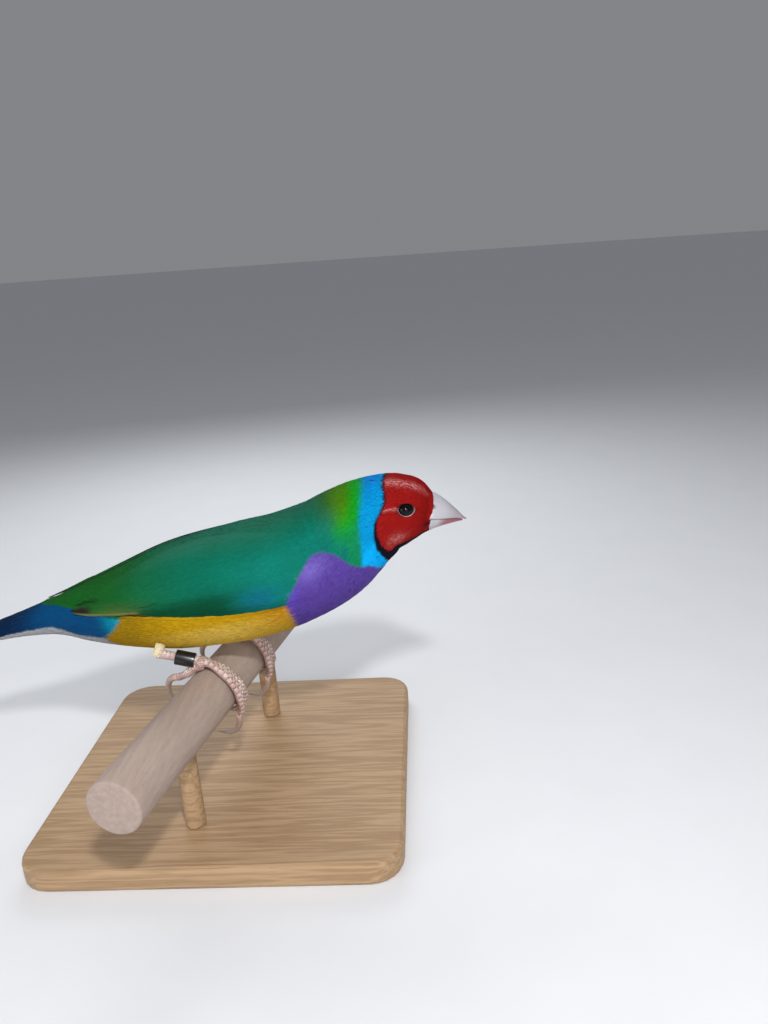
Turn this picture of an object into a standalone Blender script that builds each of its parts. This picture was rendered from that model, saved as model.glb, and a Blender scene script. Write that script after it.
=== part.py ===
"""Gouldian finch, a life-size still model that grips a round perch on a small display stand.

The bird looks along +X, its left side is +Y, and the origin is the middle of the base's underside.
Lengths are in millimetres up to the point where a mesh is made, and in metres in the scene.
"""
import math

import bmesh
import bpy
import numpy as np
from mathutils import Matrix, Vector

MM = 0.001
GAP = 0.3

# Display stand and perch
BASE_LENGTH = 92.0
BASE_WIDTH = 84.0
BASE_THICKNESS = 6.0
BASE_EDGE = 1.0
ROD_DIAMETER = 5.0
ROD_PLACES = {"stand_rod_front": -27.0, "stand_rod_back": 23.0}
PERCH_HEIGHT = 33.0
PERCH_DIAMETER = 13.0
PERCH_TURN = 12.0
PERCH_SPAN = (-56.0, 36.0)

# Sections of the body from the bill to the tail: x and z of the middle, height above and
# below it, half width, and roll of the head to the bird's left in degrees
SECTIONS = {
    "bill face": (56.1, 75.6, 4.8, 4.8, 4.6, 12.0),
    "forehead": (53.4, 76.0, 7.5, 6.6, 6.6, 12.0),
    "eyes": (49.8, 76.2, 9.0, 8.4, 8.1, 12.0),
    "crown": (45.5, 75.8, 9.9, 9.7, 9.1, 12.0),
    "nape": (40.5, 73.8, 11.2, 11.0, 10.0, 10.0),
    "neck": (36.0, 71.2, 12.2, 12.4, 11.0, 7.0),
    "shoulders": (30.0, 67.3, 13.3, 13.8, 12.2, 3.0),
    "breast": (20.5, 63.0, 14.3, 14.8, 13.4, 0.0),
    "middle": (8.7, 60.0, 14.9, 15.6, 13.8, 0.0),
    "belly": (-1.1, 58.2, 14.3, 15.2, 13.7, 0.0),
    "loins": (-12.6, 56.3, 12.7, 14.0, 13.0, 0.0),
    "rump": (-23.5, 54.7, 9.9, 11.5, 11.2, 0.0),
    "vent": (-33.1, 53.5, 7.4, 8.9, 8.6, 0.0),
    "coverts": (-42.2, 52.4, 4.9, 5.5, 6.2, 0.0),
    "tail root": (-50.5, 50.6, 3.5, 3.5, 5.2, 0.0),
    "coverts' ends": (-62.0, 47.9, 2.1, 2.0, 4.6, 0.0),
}
SECTION_POWER = 2.15
HEAD_END = 41.0
NECK_END = 31.0
TORSO_END = -24.0
COVERTS_END = -57.5
RING_SIDES = 26

# Bill, measured forward from its face and up from the middle of the face
BILL_LENGTH = 8.6
BILL_WIDTH = 8.8
BILL_HEIGHT = 9.4
GAPE_HEIGHT = -1.6
TIP_DROP = -0.9
NOSTRIL_RADIUS = 0.42

# Eyes
EYE_RADIUS = 1.95
EYE_SECTION = 50.4
EYE_ANGLE = 85.5
EYE_PROUD = 0.6
EYE_SQUINT = 0.84
LID_RADIUS = 2.1
LID_THICKNESS = 0.4

# Folded wings: where they start and end along the body, and the angle of the lower and upper
# edge round the body, from the middle of the back, at the bend, the waist and the tip
WING_START = 26.0
WINGS = {
    "wing_right": {"side": -1, "tip": -35.5, "lower": (108.0, 93.0, 76.0), "upper": (48.0, 26.0, 56.0)},
    "wing_left": {"side": 1, "tip": -45.5, "lower": (108.0, 88.0, 30.0), "upper": (48.0, 26.0, 10.0)},
}
WING_DEPTH = 1.7
WING_EDGE = 0.95
WING_CORE_SHARE = 0.62
WING_BEND_PLACE = 0.5
VANE_THICKNESS = 0.5
VANE_ROOT_LIFT = 1.0

# Tiers of vanes on a wing. Along and across are shares of the wing, and the first vane of a tier
# lies lowest. Each tier: how many, the root and the tip as (along, across), width, lift of the
# tip, and what each next vane adds: to root across, tip along, tip across, width and lift
WING_TIERS = {
    "primary": (6, (0.34, 0.12), (1.00, 0.50), 3.6, 0.86, (0.06, -0.06, 0.06, 0.0, 0.16)),
    "primary covert": (2, (0.20, 0.10), (0.52, 0.12), 3.4, 1.30, (0.08, -0.03, 0.08, 0.0, 0.1)),
    "secondary": (5, (0.34, 0.38), (0.76, 0.42), 4.8, 1.35, (0.10, -0.03, 0.085, 0.0, 0.12)),
    "tertial": (3, (0.30, 0.68), (0.82, 0.76), 6.2, 1.75, (0.11, -0.09, 0.08, -0.4, 0.18)),
    "greater covert": (6, (0.20, 0.15), (0.44, 0.16), 5.0, 1.70, (0.14, -0.008, 0.14, 0.0, 0.03)),
    "median covert": (5, (0.09, 0.17), (0.27, 0.19), 5.4, 1.75, (0.165, 0.0, 0.165, 0.0, 0.0)),
}
SHORT_TIERS = ("greater covert", "median covert")

# Tail: pairs of vanes from the long middle pair outwards, measured back from the coverts
TAIL_TIPS = (-75.0, -69.5, -67.5, -66.0, -64.5, -63.0)
TAIL_WIDTHS = (2.8, 3.7, 3.7, 3.4, 3.0, 2.5)
TAIL_SPREAD = 0.36
TAIL_STEP = 0.33
TAIL_BLOCK = 5.0
COVERT_TIP = -61.0
COVERT_WIDTH = 3.9
COVERT_ANGLES = (0.0, 42.0, 148.0, 180.0)

# Legs: the foot's joint sits on the perch, the heel lies under the belly feathers
FEET = {"right": -10.2, "left": 9.0}
PALM_TURN = -11.0
PALM_RADIUS = 1.2
PALM_LIFT = 0.9
SHANK_RADIUS = 1.1
HEEL_RIGHT = (-13.8, -10.0, 44.5)
HEEL_LEFT = (-9.6, 9.2, 44.2)
TOE_RADIUS = 0.92
TOES = {
    "near": {"place": 1.0, "bulge": -2.4, "end": 138.0, "lift": 1.5, "sweep": 95.0},
    "middle": {"place": 1.9, "bulge": -1.6, "end": 126.0, "lift": 0.0, "sweep": 70.0},
    "far": {"place": 3.1, "bulge": -1.2, "end": 112.0, "lift": 0.0, "sweep": 70.0},
}
HALLUX_END_ANGLE = -64.0
HALLUX_LIFT = 2.0
HALLUX_BULGE = 1.9
HALLUX_SWEEP = 100.0
HALLUX_RISE = -20.0
CLAW_RISE = 28.0
CLAW_RADIUS = 0.62
CLAW_LENGTH = 14.5
HALLUX_CLAW_LENGTH = 9.5
HUGGING_CLAW_LENGTH = 6.0
BAND_LENGTH = 4.9
BAND_BORE = 1.4
BAND_WALL = 0.5
BAND_PLACE = 0.30

MODEL = bpy.data.collections.new("gouldian_finch")
CUTTERS = bpy.data.collections.new("cutters")


def clear_scene():
    for item in list(bpy.data.objects):
        bpy.data.objects.remove(item)
    bpy.context.scene.collection.children.link(MODEL)
    bpy.context.scene.collection.children.link(CUTTERS)


def finish(name, colour, roughness, metallic=0.0):
    material = bpy.data.materials.new(name)
    material.use_nodes = True
    shader = material.node_tree.nodes["Principled BSDF"]
    shader.inputs["Base Color"].default_value = (*colour, 1.0)
    shader.inputs["Roughness"].default_value = roughness
    shader.inputs["Metallic"].default_value = metallic
    return material


FINISHES = {
    "mask": finish("mask_red", (0.45, 0.015, 0.02), 0.7),
    "collar": finish("collar_blue", (0.12, 0.42, 0.62), 0.7),
    "body": finish("body_gold", (0.75, 0.42, 0.05), 0.75),
    "wing": finish("wing_green", (0.10, 0.30, 0.05), 0.65),
    "rump": finish("rump_blue", (0.03, 0.14, 0.42), 0.7),
    "tail": finish("tail_dark", (0.03, 0.05, 0.12), 0.65),
    "bill": finish("bill_ivory", (0.80, 0.68, 0.60), 0.35),
    "eye": finish("eye_dark", (0.01, 0.008, 0.008), 0.05),
    "leg": finish("leg_pink", (0.62, 0.33, 0.28), 0.4),
    "claw": finish("claw_horn", (0.45, 0.36, 0.30), 0.35),
    "ring": finish("ring_black", (0.01, 0.01, 0.012), 0.3),
    "perch": finish("perch_taupe", (0.24, 0.20, 0.17), 0.8),
    "stand": finish("stand_oak", (0.30, 0.22, 0.15), 0.6),
}


def place(item, material, collection=MODEL):
    """Give an object its finish and keep it in one collection only."""
    for owner in list(item.users_collection):
        owner.objects.unlink(item)
    collection.objects.link(item)
    item.data.materials.clear()
    item.data.materials.append(material)
    if collection is CUTTERS:
        item.hide_render = True
        item.display_type = "WIRE"
    return item


def mesh_object(name, points, faces, material, collection=MODEL):
    """An object from points in millimetres and faces that index them."""
    mesh = bpy.data.meshes.new(name)
    mesh.from_pydata([tuple(point) for point in np.asarray(points) * MM], [], faces)
    mesh.shade_smooth()
    mesh.set_sharp_from_angle(angle=math.radians(40))
    item = bpy.data.objects.new(name, mesh)
    return place(item, material, collection)


def from_primitive(name, material, collection=MODEL):
    item = bpy.context.active_object
    item.name = name
    item.data.name = name
    return place(item, material, collection)


def smooth_value(knots, values, where):
    """Cubic curve through the knots, with the slope of its neighbours at each one."""
    order = np.argsort(knots)
    knots = np.asarray(knots, float)[order]
    values = np.asarray(values, float)[order]
    steps = np.diff(knots)
    grades = np.diff(values) / steps
    slopes = np.empty_like(values)
    slopes[0] = grades[0]
    slopes[-1] = grades[-1]
    slopes[1:-1] = (grades[:-1] * steps[1:] + grades[1:] * steps[:-1]) / (steps[:-1] + steps[1:])
    where = np.asarray(where, float)
    cell = np.clip(np.searchsorted(knots, where) - 1, 0, len(steps) - 1)
    share = (where - knots[cell]) / steps[cell]
    rise = share * share * (3.0 - 2.0 * share)
    start_bend = share * (1.0 - share) ** 2 * steps[cell] * slopes[cell]
    end_bend = share * share * (share - 1.0) * steps[cell] * slopes[cell + 1]
    return values[cell] * (1.0 - rise) + values[cell + 1] * rise + start_bend + end_bend


SECTION_ROWS = np.array(list(SECTIONS.values()))


def section_frame(along):
    """Middle, forward, up and side direction, heights and half width of the body at one section."""
    along = np.asarray(along, float)
    knots = SECTION_ROWS[:, 0]
    height = smooth_value(knots, SECTION_ROWS[:, 1], along)
    ahead = smooth_value(knots, SECTION_ROWS[:, 1], along + 0.5)
    behind = smooth_value(knots, SECTION_ROWS[:, 1], along - 0.5)
    pitch = np.arctan2(ahead - behind, 1.0)
    roll = np.radians(smooth_value(knots, SECTION_ROWS[:, 5], along))
    zero = np.zeros_like(along)
    middle = np.stack([along, zero, height], axis=-1)
    forward = np.stack([np.cos(pitch), zero, np.sin(pitch)], axis=-1)
    plain_up = np.stack([-np.sin(pitch), zero, np.cos(pitch)], axis=-1)
    plain_side = np.stack([zero, zero + 1.0, zero], axis=-1)
    up = plain_up * np.cos(roll)[..., None] + plain_side * np.sin(roll)[..., None]
    side = plain_side * np.cos(roll)[..., None] - plain_up * np.sin(roll)[..., None]
    above = smooth_value(knots, SECTION_ROWS[:, 2], along)
    below = smooth_value(knots, SECTION_ROWS[:, 3], along)
    width = smooth_value(knots, SECTION_ROWS[:, 4], along)
    return middle, forward, up, side, above, below, width


def body_shape(along, angle):
    """Point of the body: a superellipse across the spine, its angle 0 at the back, +90 at the left."""
    middle, _, up, side, above, below, width = section_frame(along)
    cosine = np.cos(angle)
    sine = np.sin(angle)
    power = 2.0 / SECTION_POWER
    rise = np.sign(cosine) * np.abs(cosine) ** power * np.where(cosine > 0, above, below)
    reach = np.sign(sine) * np.abs(sine) ** power * width
    return middle + up * rise[..., None] + side * reach[..., None]


def body_point(along, angle, out=0.0):
    """Point at a distance outside the body's surface, and that surface's two tangents."""
    along, angle, out = np.broadcast_arrays(np.asarray(along, float), angle, out)
    small = 0.02
    along_tangent = (body_shape(along + small, angle) - body_shape(along - small, angle)) / (2 * small)
    round_tangent = (body_shape(along, angle + small) - body_shape(along, angle - small)) / (2 * small)
    normal = np.cross(along_tangent, round_tangent)
    normal /= np.linalg.norm(normal, axis=-1, keepdims=True)
    return body_shape(along, angle) + normal * out[..., None], along_tangent, round_tangent, normal


def ring_faces(rings, sides):
    """Quads between rings of points, and a flat face on each end."""
    faces = []
    for ring in range(rings - 1):
        for side in range(sides):
            after = (side + 1) % sides
            low = ring * sides
            high = low + sides
            faces.append((low + side, low + after, high + after, high + side))
    faces.append(tuple(range(sides - 1, -1, -1)))
    faces.append(tuple(range((rings - 1) * sides, rings * sides)))
    return faces


def body_length(name, start, end, rings, material, out=0.0, collection=MODEL):
    """A length of the body between two of its sections, cut flat at both."""
    angles = np.linspace(0.0, 2 * math.pi, RING_SIDES, endpoint=False) + math.pi / RING_SIDES
    along = np.linspace(start, end, rings)
    points = body_point(along[:, None], angles[None, :], out)[0].reshape(-1, 3)
    return mesh_object(name, points, ring_faces(rings, RING_SIDES), material, collection)


def tube(name, points, radii, material, collection=MODEL, sides=2):
    """A tube of changing thickness along a path, as a mesh with welded caps."""
    curve = bpy.data.curves.new(name + "_path", "CURVE")
    curve.dimensions = "3D"
    curve.bevel_depth = MM
    curve.bevel_resolution = sides
    curve.use_fill_caps = True
    spline = curve.splines.new("POLY")
    spline.points.add(len(points) - 1)
    for spot, point, radius in zip(spline.points, points, radii):
        spot.co = (*(Vector(point) * MM), 1.0)
        spot.radius = radius
    path = bpy.data.objects.new(name + "_path", curve)
    bpy.context.scene.collection.objects.link(path)
    bpy.context.view_layer.update()
    evaluated = path.evaluated_get(bpy.context.evaluated_depsgraph_get())
    mesh = bpy.data.meshes.new_from_object(evaluated)
    bpy.data.objects.remove(path)
    shape = bmesh.new()
    shape.from_mesh(mesh)
    bmesh.ops.remove_doubles(shape, verts=shape.verts, dist=0.00001)
    bmesh.ops.recalc_face_normals(shape, faces=shape.faces)
    shape.to_mesh(mesh)
    shape.free()
    mesh.name = name
    mesh.shade_smooth()
    return place(bpy.data.objects.new(name, mesh), material, collection)


def largest_shell(item):
    """Keep only the largest closed surface of a mesh."""
    shape = bmesh.new()
    shape.from_mesh(item.data)
    bmesh.ops.remove_doubles(shape, verts=shape.verts, dist=0.0000005)
    bmesh.ops.dissolve_degenerate(shape, edges=shape.edges, dist=0.0000005)
    left = set(shape.faces)
    shells = []
    while left:
        stack = [left.pop()]
        shell = []
        while stack:
            face = stack.pop()
            shell.append(face)
            for edge in face.edges:
                for other in edge.link_faces:
                    if other in left:
                        left.remove(other)
                        stack.append(other)
        shells.append(shell)
    shells.sort(key=lambda faces: sum(face.calc_area() for face in faces))
    for shell in shells[:-1]:
        bmesh.ops.delete(shape, geom=shell, context="FACES")
    shape.to_mesh(item.data)
    shape.free()


def combine(item, others, operation, solver="EXACT"):
    """Join or cut an object with closed pieces, apply it, and remove the pieces."""
    pieces = bpy.data.collections.new(item.name + "_pieces")
    bpy.context.scene.collection.children.link(pieces)
    for other in others:
        place(other, other.data.materials[0], pieces)
    change = item.modifiers.new("combine", "BOOLEAN")
    change.operation = operation
    change.operand_type = "COLLECTION"
    change.collection = pieces
    change.solver = solver
    bpy.context.view_layer.update()
    evaluated = item.evaluated_get(bpy.context.evaluated_depsgraph_get())
    mesh = bpy.data.meshes.new_from_object(evaluated)
    item.modifiers.clear()
    item.data = mesh
    for other in list(pieces.objects):
        bpy.data.objects.remove(other)
    bpy.data.collections.remove(pieces)
    largest_shell(item)
    return item


def ball(name, centre, radius, material, collection=CUTTERS, segments=16, rings=10):
    bpy.ops.mesh.primitive_uv_sphere_add(segments=segments, ring_count=rings, radius=radius * MM)
    item = from_primitive(name, material, collection)
    item.data.transform(Matrix.Translation(Vector(centre) * MM))
    item.data.shade_smooth()
    return item


def eye_place(side):
    """Centre of an eye, and the direction it looks, square to the head's side."""
    spot, _, _, normal = body_point(EYE_SECTION, side * math.radians(EYE_ANGLE))
    return spot + normal * (EYE_PROUD - EYE_RADIUS), normal


def oval(item, centre, look):
    """Flatten a round piece a little along the head's height, about a centre."""
    _, _, up, _, _, _, _ = section_frame(EYE_SECTION)
    height = Vector(up - look * np.dot(up, look)).normalized()
    squeeze = Matrix.Scale(EYE_SQUINT, 4, height)
    shift = Matrix.Translation(Vector(centre) * MM)
    item.data.transform(shift @ squeeze @ shift.inverted())
    return item


def make_head():
    head = body_length("head", 56.1, HEAD_END, 12, FINISHES["mask"])
    lids = []
    sockets = []
    for side in (-1, 1):
        centre, look = eye_place(side)
        bpy.ops.mesh.primitive_torus_add(
            major_radius=LID_RADIUS * MM, minor_radius=LID_THICKNESS * MM,
            major_segments=18, minor_segments=6)
        lid = from_primitive("lid", FINISHES["mask"], CUTTERS)
        turn = Vector(look).to_track_quat("Z", "Y").to_matrix().to_4x4()
        rim = Vector(centre + look * (EYE_RADIUS - EYE_PROUD - 0.1))
        lid.data.transform(Matrix.Translation(rim * MM) @ turn)
        lids.append(oval(lid, centre, look))
        socket = ball("socket", centre, EYE_RADIUS + GAP, FINISHES["mask"], segments=18, rings=10)
        sockets.append(oval(socket, centre, look))
        name = "eye_left" if side > 0 else "eye_right"
        eye = ball(name, centre, EYE_RADIUS, FINISHES["eye"], MODEL, 18, 10)
        oval(eye, centre, look)
    combine(head, lids, "UNION")
    combine(head, sockets, "DIFFERENCE")
    return head


def bill_half(name, stations, upper):
    """A half bill: D-shaped sections from the face to the tip, flat along the line of the mouth."""
    middle, forward, up, side, _, _, _ = section_frame(56.1)
    sweep = np.linspace(0.0, math.pi, 9)
    points = []
    for reach, edge, crest, width in stations:
        rise = np.sin(sweep) ** 0.9 * (crest - edge)
        across = np.cos(sweep) * width * (1 if upper else -1)
        ring = (middle + forward * (reach + GAP) + up * (edge + rise)[:, None] + side * across[:, None])
        points.append(ring)
    sides = len(sweep)
    return mesh_object(name, np.concatenate(points), ring_faces(len(stations), sides), FINISHES["bill"])


def make_bill():
    upper_rows = []
    lower_rows = []
    for share in (0.0, 0.12, 0.28, 0.45, 0.62, 0.78, 0.9, 1.0):
        reach = share * BILL_LENGTH
        fall = share ** 1.35
        crest = BILL_HEIGHT / 2 * (1 - fall) + (TIP_DROP - 0.2) * fall
        width = BILL_WIDTH / 2 * (1 - share ** 1.35) + 0.28 * share
        edge = GAPE_HEIGHT + (TIP_DROP - GAPE_HEIGHT) * math.sin(share * math.pi / 2) * 0.9
        edge -= 0.25 * share ** 6
        upper_rows.append((reach, edge + GAP / 2, max(crest, edge + GAP / 2 + 0.4), width))
        lower_reach = reach * 0.90
        floor = -BILL_HEIGHT / 2 + (TIP_DROP + BILL_HEIGHT / 2 - 0.6) * share ** 0.8
        lower_rows.append((lower_reach, edge - GAP / 2, min(floor, edge - GAP / 2 - 0.4), width * 0.92))
    upper = bill_half("bill_upper", upper_rows, True)
    bill_half("bill_lower", lower_rows, False)
    middle, forward, up, side, _, _, _ = section_frame(56.1)
    nostrils = []
    for hand in (-1, 1):
        spot = middle + forward * 0.9 + up * 1.9 + side * hand * 3.65
        nostrils.append(ball("nostril", spot, NOSTRIL_RADIUS, FINISHES["bill"], segments=10, rings=6))
    combine(upper, nostrils, "DIFFERENCE")


def wing_place(wing, along, across):
    """Section and angle of a spot on the folded wing, from its bend to its tip and up from its edge."""
    spot = WING_START + along * (wing["tip"] - WING_START)
    lower = smooth_value((0.0, 0.5, 1.0), wing["lower"], along)
    upper = smooth_value((0.0, 0.5, 1.0), wing["upper"], along)
    return spot, np.radians(lower + (upper - lower) * across) * wing["side"]


def wing_core(name, wing):
    """The fleshy part of the folded wing: a thin form that lies on the body and thins to its edges."""
    along = WING_CORE_SHARE * np.linspace(0.0, 1.0, 9) ** 1.2
    middle = WING_BEND_PLACE
    narrow = np.minimum(1.0, 0.45 + 6.0 * along)[:, None]
    across = middle + (np.linspace(0.02, 0.98, 7) - middle)[None, :] * narrow
    spot, angle = np.broadcast_arrays(*wing_place(wing, along[:, None], across))
    swell = np.sin(np.pi * np.clip(along / WING_CORE_SHARE, 0.0, 1.0) ** 0.6)[:, None]
    swell = swell * (1 - (2 * across - 1) ** 4)
    edge = WING_EDGE * np.minimum(1.0, 0.75 + 2.0 * along)[:, None]
    inner = body_point(spot, angle, GAP + 0.05)[0]
    outer = body_point(spot, angle, edge + (WING_DEPTH - WING_EDGE) * swell)[0]
    return slab(name, inner, outer, FINISHES["wing"])


def vane(name, root, tip, width, root_lift, tip_lift, material, tilt=0.1, short=False):
    """A flat feather that follows the body's surface from its root to its tip.

    It is widest past its middle and rounded at the tip, and a short one has one section less.
    Its width runs square to its path, which is written as a mix of the surface's two tangents.
    Its edge is tilted a little off the body.
    """
    share = np.array([0.0, 0.35, 0.7, 0.9, 1.0])
    shape = np.array([0.6, 0.9, 1.0, 0.72, 0.22])
    depth = VANE_THICKNESS * np.array([1.0, 1.0, 0.95, 0.85, 0.7])
    if short:
        share = np.array([0.0, 0.55, 0.87, 1.0])
        shape = np.array([0.65, 1.0, 0.78, 0.25])
        depth = VANE_THICKNESS * np.array([1.0, 1.0, 0.9, 0.7])
    along = root[0] + (tip[0] - root[0]) * share
    angle = root[1] + (tip[1] - root[1]) * share
    _, along_tangent, round_tangent, normal = body_point(along, angle)
    heading = along_tangent * (tip[0] - root[0]) + round_tangent * (tip[1] - root[1])
    square = np.cross(normal, heading)
    square /= np.linalg.norm(square, axis=-1, keepdims=True)
    stretch = np.stack([np.sum(along_tangent ** 2, -1), np.sum(along_tangent * round_tangent, -1),
                        np.sum(round_tangent ** 2, -1)])
    reach = np.stack([np.sum(square * along_tangent, -1), np.sum(square * round_tangent, -1)])
    scale = stretch[0] * stretch[2] - stretch[1] ** 2
    step_along = (reach[0] * stretch[2] - reach[1] * stretch[1]) / scale
    step_angle = (reach[1] * stretch[0] - reach[0] * stretch[1]) / scale
    across = np.array([-1.0, 0.0, 1.0])
    offset = (width / 2 * shape)[:, None] * across[None, :]
    place_along = along[:, None] + step_along[:, None] * offset
    place_angle = angle[:, None] + step_angle[:, None] * offset
    lift = (root_lift + (tip_lift - root_lift) * share)[:, None] + tilt * across[None, :]
    half = depth[:, None] / 2 * (1.0 - 0.12 * across[None, :] ** 2)
    inner = body_point(place_along, place_angle, lift - half)[0]
    outer = body_point(place_along, place_angle, lift + half)[0]
    return slab(name, inner, outer, material, CUTTERS)


def make_wing(name, wing):
    """A wing's core with its tiers of vanes, joined as one."""
    core = wing_core(name, wing)
    vanes = []
    for tier, (count, root, tip, width, lift, growth) in WING_TIERS.items():
        for number in range(count):
            root_across = root[1] + growth[0] * number
            tip_along = tip[0] + growth[1] * number
            tip_across = tip[1] + growth[2] * number
            start = wing_place(wing, np.array(root[0]), np.array(root_across))
            end = wing_place(wing, np.array(tip_along), np.array(tip_across))
            vanes.append(vane(tier, (float(start[0]), float(start[1])), (float(end[0]), float(end[1])),
                              width + growth[3] * number, VANE_ROOT_LIFT, lift + growth[4] * number,
                              FINISHES["wing"], 0.1 * wing["side"], tier in SHORT_TIERS))
    return combine(core, vanes, "UNION")


def slab(name, inner, outer, material, collection=MODEL):
    """Closed form between two like grids of points, split into triangles alike on both."""
    rows, columns, _ = inner.shape
    count = rows * columns
    faces = []

    def spot(row, column, layer):
        return layer * count + row * columns + column

    for row in range(rows - 1):
        for column in range(columns - 1):
            a, b = spot(row, column, 1), spot(row, column + 1, 1)
            c, d = spot(row + 1, column + 1, 1), spot(row + 1, column, 1)
            faces += [(a, b, c), (a, c, d)]
            faces += [(a - count, c - count, b - count), (a - count, d - count, c - count)]
    rim = [(0, column) for column in range(columns)]
    rim += [(row, columns - 1) for row in range(1, rows)]
    rim += [(rows - 1, column) for column in range(columns - 2, -1, -1)]
    rim += [(row, 0) for row in range(rows - 2, 0, -1)]
    for here, after in zip(rim, rim[1:] + rim[:1]):
        a, b = spot(*here, 0), spot(*after, 0)
        c, d = spot(*after, 1), spot(*here, 1)
        faces += [(a, b, c), (a, c, d)]
    points = np.concatenate([inner.reshape(-1, 3), outer.reshape(-1, 3)])
    item = mesh_object(name, points, faces, material, collection)
    shape = bmesh.new()
    shape.from_mesh(item.data)
    bmesh.ops.recalc_face_normals(shape, faces=shape.faces)
    shape.to_mesh(item.data)
    shape.free()
    return item


def make_coverts():
    """The rump and the long coverts above and below the tail, whose tips lie over its root."""
    coverts = body_length("tail_coverts", TORSO_END - GAP, COVERTS_END, 12, FINISHES["rump"])
    vanes = []
    for degrees in COVERT_ANGLES:
        for side in ((-1, 1) if 0.0 < degrees < 180.0 else (1,)):
            angle = math.radians(degrees) * side
            root = (COVERTS_END + 7.0, angle)
            vanes.append(vane("covert", root, (COVERT_TIP, angle), COVERT_WIDTH, -0.6, -0.2,
                              FINISHES["rump"], 0.04, True))
    return combine(coverts, vanes, "UNION")


def tail_grid(length, side_root, side_tip, rise, width, pointed):
    """Two like grids of points for one straight tail vane, back from the coverts' end."""
    middle, forward, up, side, _, _, _ = section_frame(COVERTS_END - GAP)
    share = np.array([0.0, 0.3, 0.6, 0.82, 0.94, 1.0])
    shape = np.array([0.7, 0.95, 1.0, 0.85, 0.6, 0.2])
    if pointed:
        shape = np.array([0.7, 0.95, 0.5, 0.3, 0.26, 0.2])
    across = np.array([-1.0, 0.0, 1.0])
    back = (0.5 + (length - 0.5) * share)[:, None, None]
    reach = (side_root + (side_tip - side_root) * share)[:, None]
    reach = reach + (width / 2 * shape)[:, None] * across[None, :]
    centre = middle - forward * back + side * reach[..., None] + up * rise
    half = (VANE_THICKNESS / 2 * np.array([1.0, 1.0, 0.9, 0.85, 0.8, 0.7]))[:, None, None]
    return centre - up * half, centre + up * half


def make_tail():
    """A root block with six pairs of vanes, the middle pair long, thin and uppermost."""
    middle, forward, up, side, _, _, _ = section_frame(COVERTS_END - GAP)
    sweep = np.linspace(0.0, 2 * math.pi, 12, endpoint=False)
    rings = []
    for back, width, height in ((0.0, 3.7, 1.35), (TAIL_BLOCK * 0.6, 3.4, 1.1), (TAIL_BLOCK, 3.0, 0.75)):
        rings.append(middle - forward * back + up * (np.cos(sweep) * height)[:, None]
                     + side * (np.sin(sweep) * width)[:, None])
    tail = mesh_object("tail", np.concatenate(rings), ring_faces(3, 12), FINISHES["tail"])
    vanes = []
    stack = TAIL_STEP * (len(TAIL_TIPS) - 1) / 2
    for pair, (tip, width) in enumerate(zip(TAIL_TIPS, TAIL_WIDTHS)):
        length = (middle[0] - tip) / forward[0]
        for hand in (-1, 1):
            rise = stack - TAIL_STEP * (pair + 0.25 * hand)
            inner, outer = tail_grid(length, hand * (0.3 + 0.15 * pair), hand * (0.7 + TAIL_SPREAD * pair),
                                     rise, width, pair == 0)
            vanes.append(slab("vane", inner, outer, FINISHES["tail"], CUTTERS))
    return combine(tail, vanes, "UNION")


def perch_frame(turn, radius, along):
    """Point beside the perch: an angle forward from its top, a distance from its axis, and a place on it."""
    heading = math.radians(PERCH_TURN)
    axis = np.array([math.sin(heading), math.cos(heading), 0.0])
    ahead = np.array([math.cos(heading), -math.sin(heading), 0.0])
    middle = np.array([0.0, 0.0, PERCH_HEIGHT])
    turn = np.radians(turn)
    beside = ahead * math.sin(turn) + np.array([0.0, 0.0, 1.0]) * math.cos(turn)
    return middle + axis * along + beside * radius


FOOT_TOP = PERCH_DIAMETER / 2 + GAP + TOE_RADIUS + 0.1


def turned(direction, axis, degrees):
    """A direction turned about an axis that is square to it."""
    angle = math.radians(degrees)
    return direction * math.cos(angle) + np.cross(axis, direction) * math.sin(angle)


def claw(name, end, direction, bend, length, sweep, rise=0.0):
    """A claw that goes on from the end of a toe, rises a little, curves down and narrows to a point."""
    points = []
    radii = []
    steps = 8
    spot = np.array(end)
    heading = direction / np.linalg.norm(direction)
    turn = sweep / steps
    for step in range(steps + 1):
        points.append(spot.copy())
        radii.append(CLAW_RADIUS * (1 - step / steps) ** 0.8 + 0.14)
        spot = spot + heading * length / steps
        heading = turned(heading, bend, turn if step else -rise)
    return tube(name, points, radii, FINISHES["claw"], sides=1)


def palm_centre(hand):
    return perch_frame(PALM_TURN, FOOT_TOP + PALM_LIFT, FEET[hand])


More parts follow.
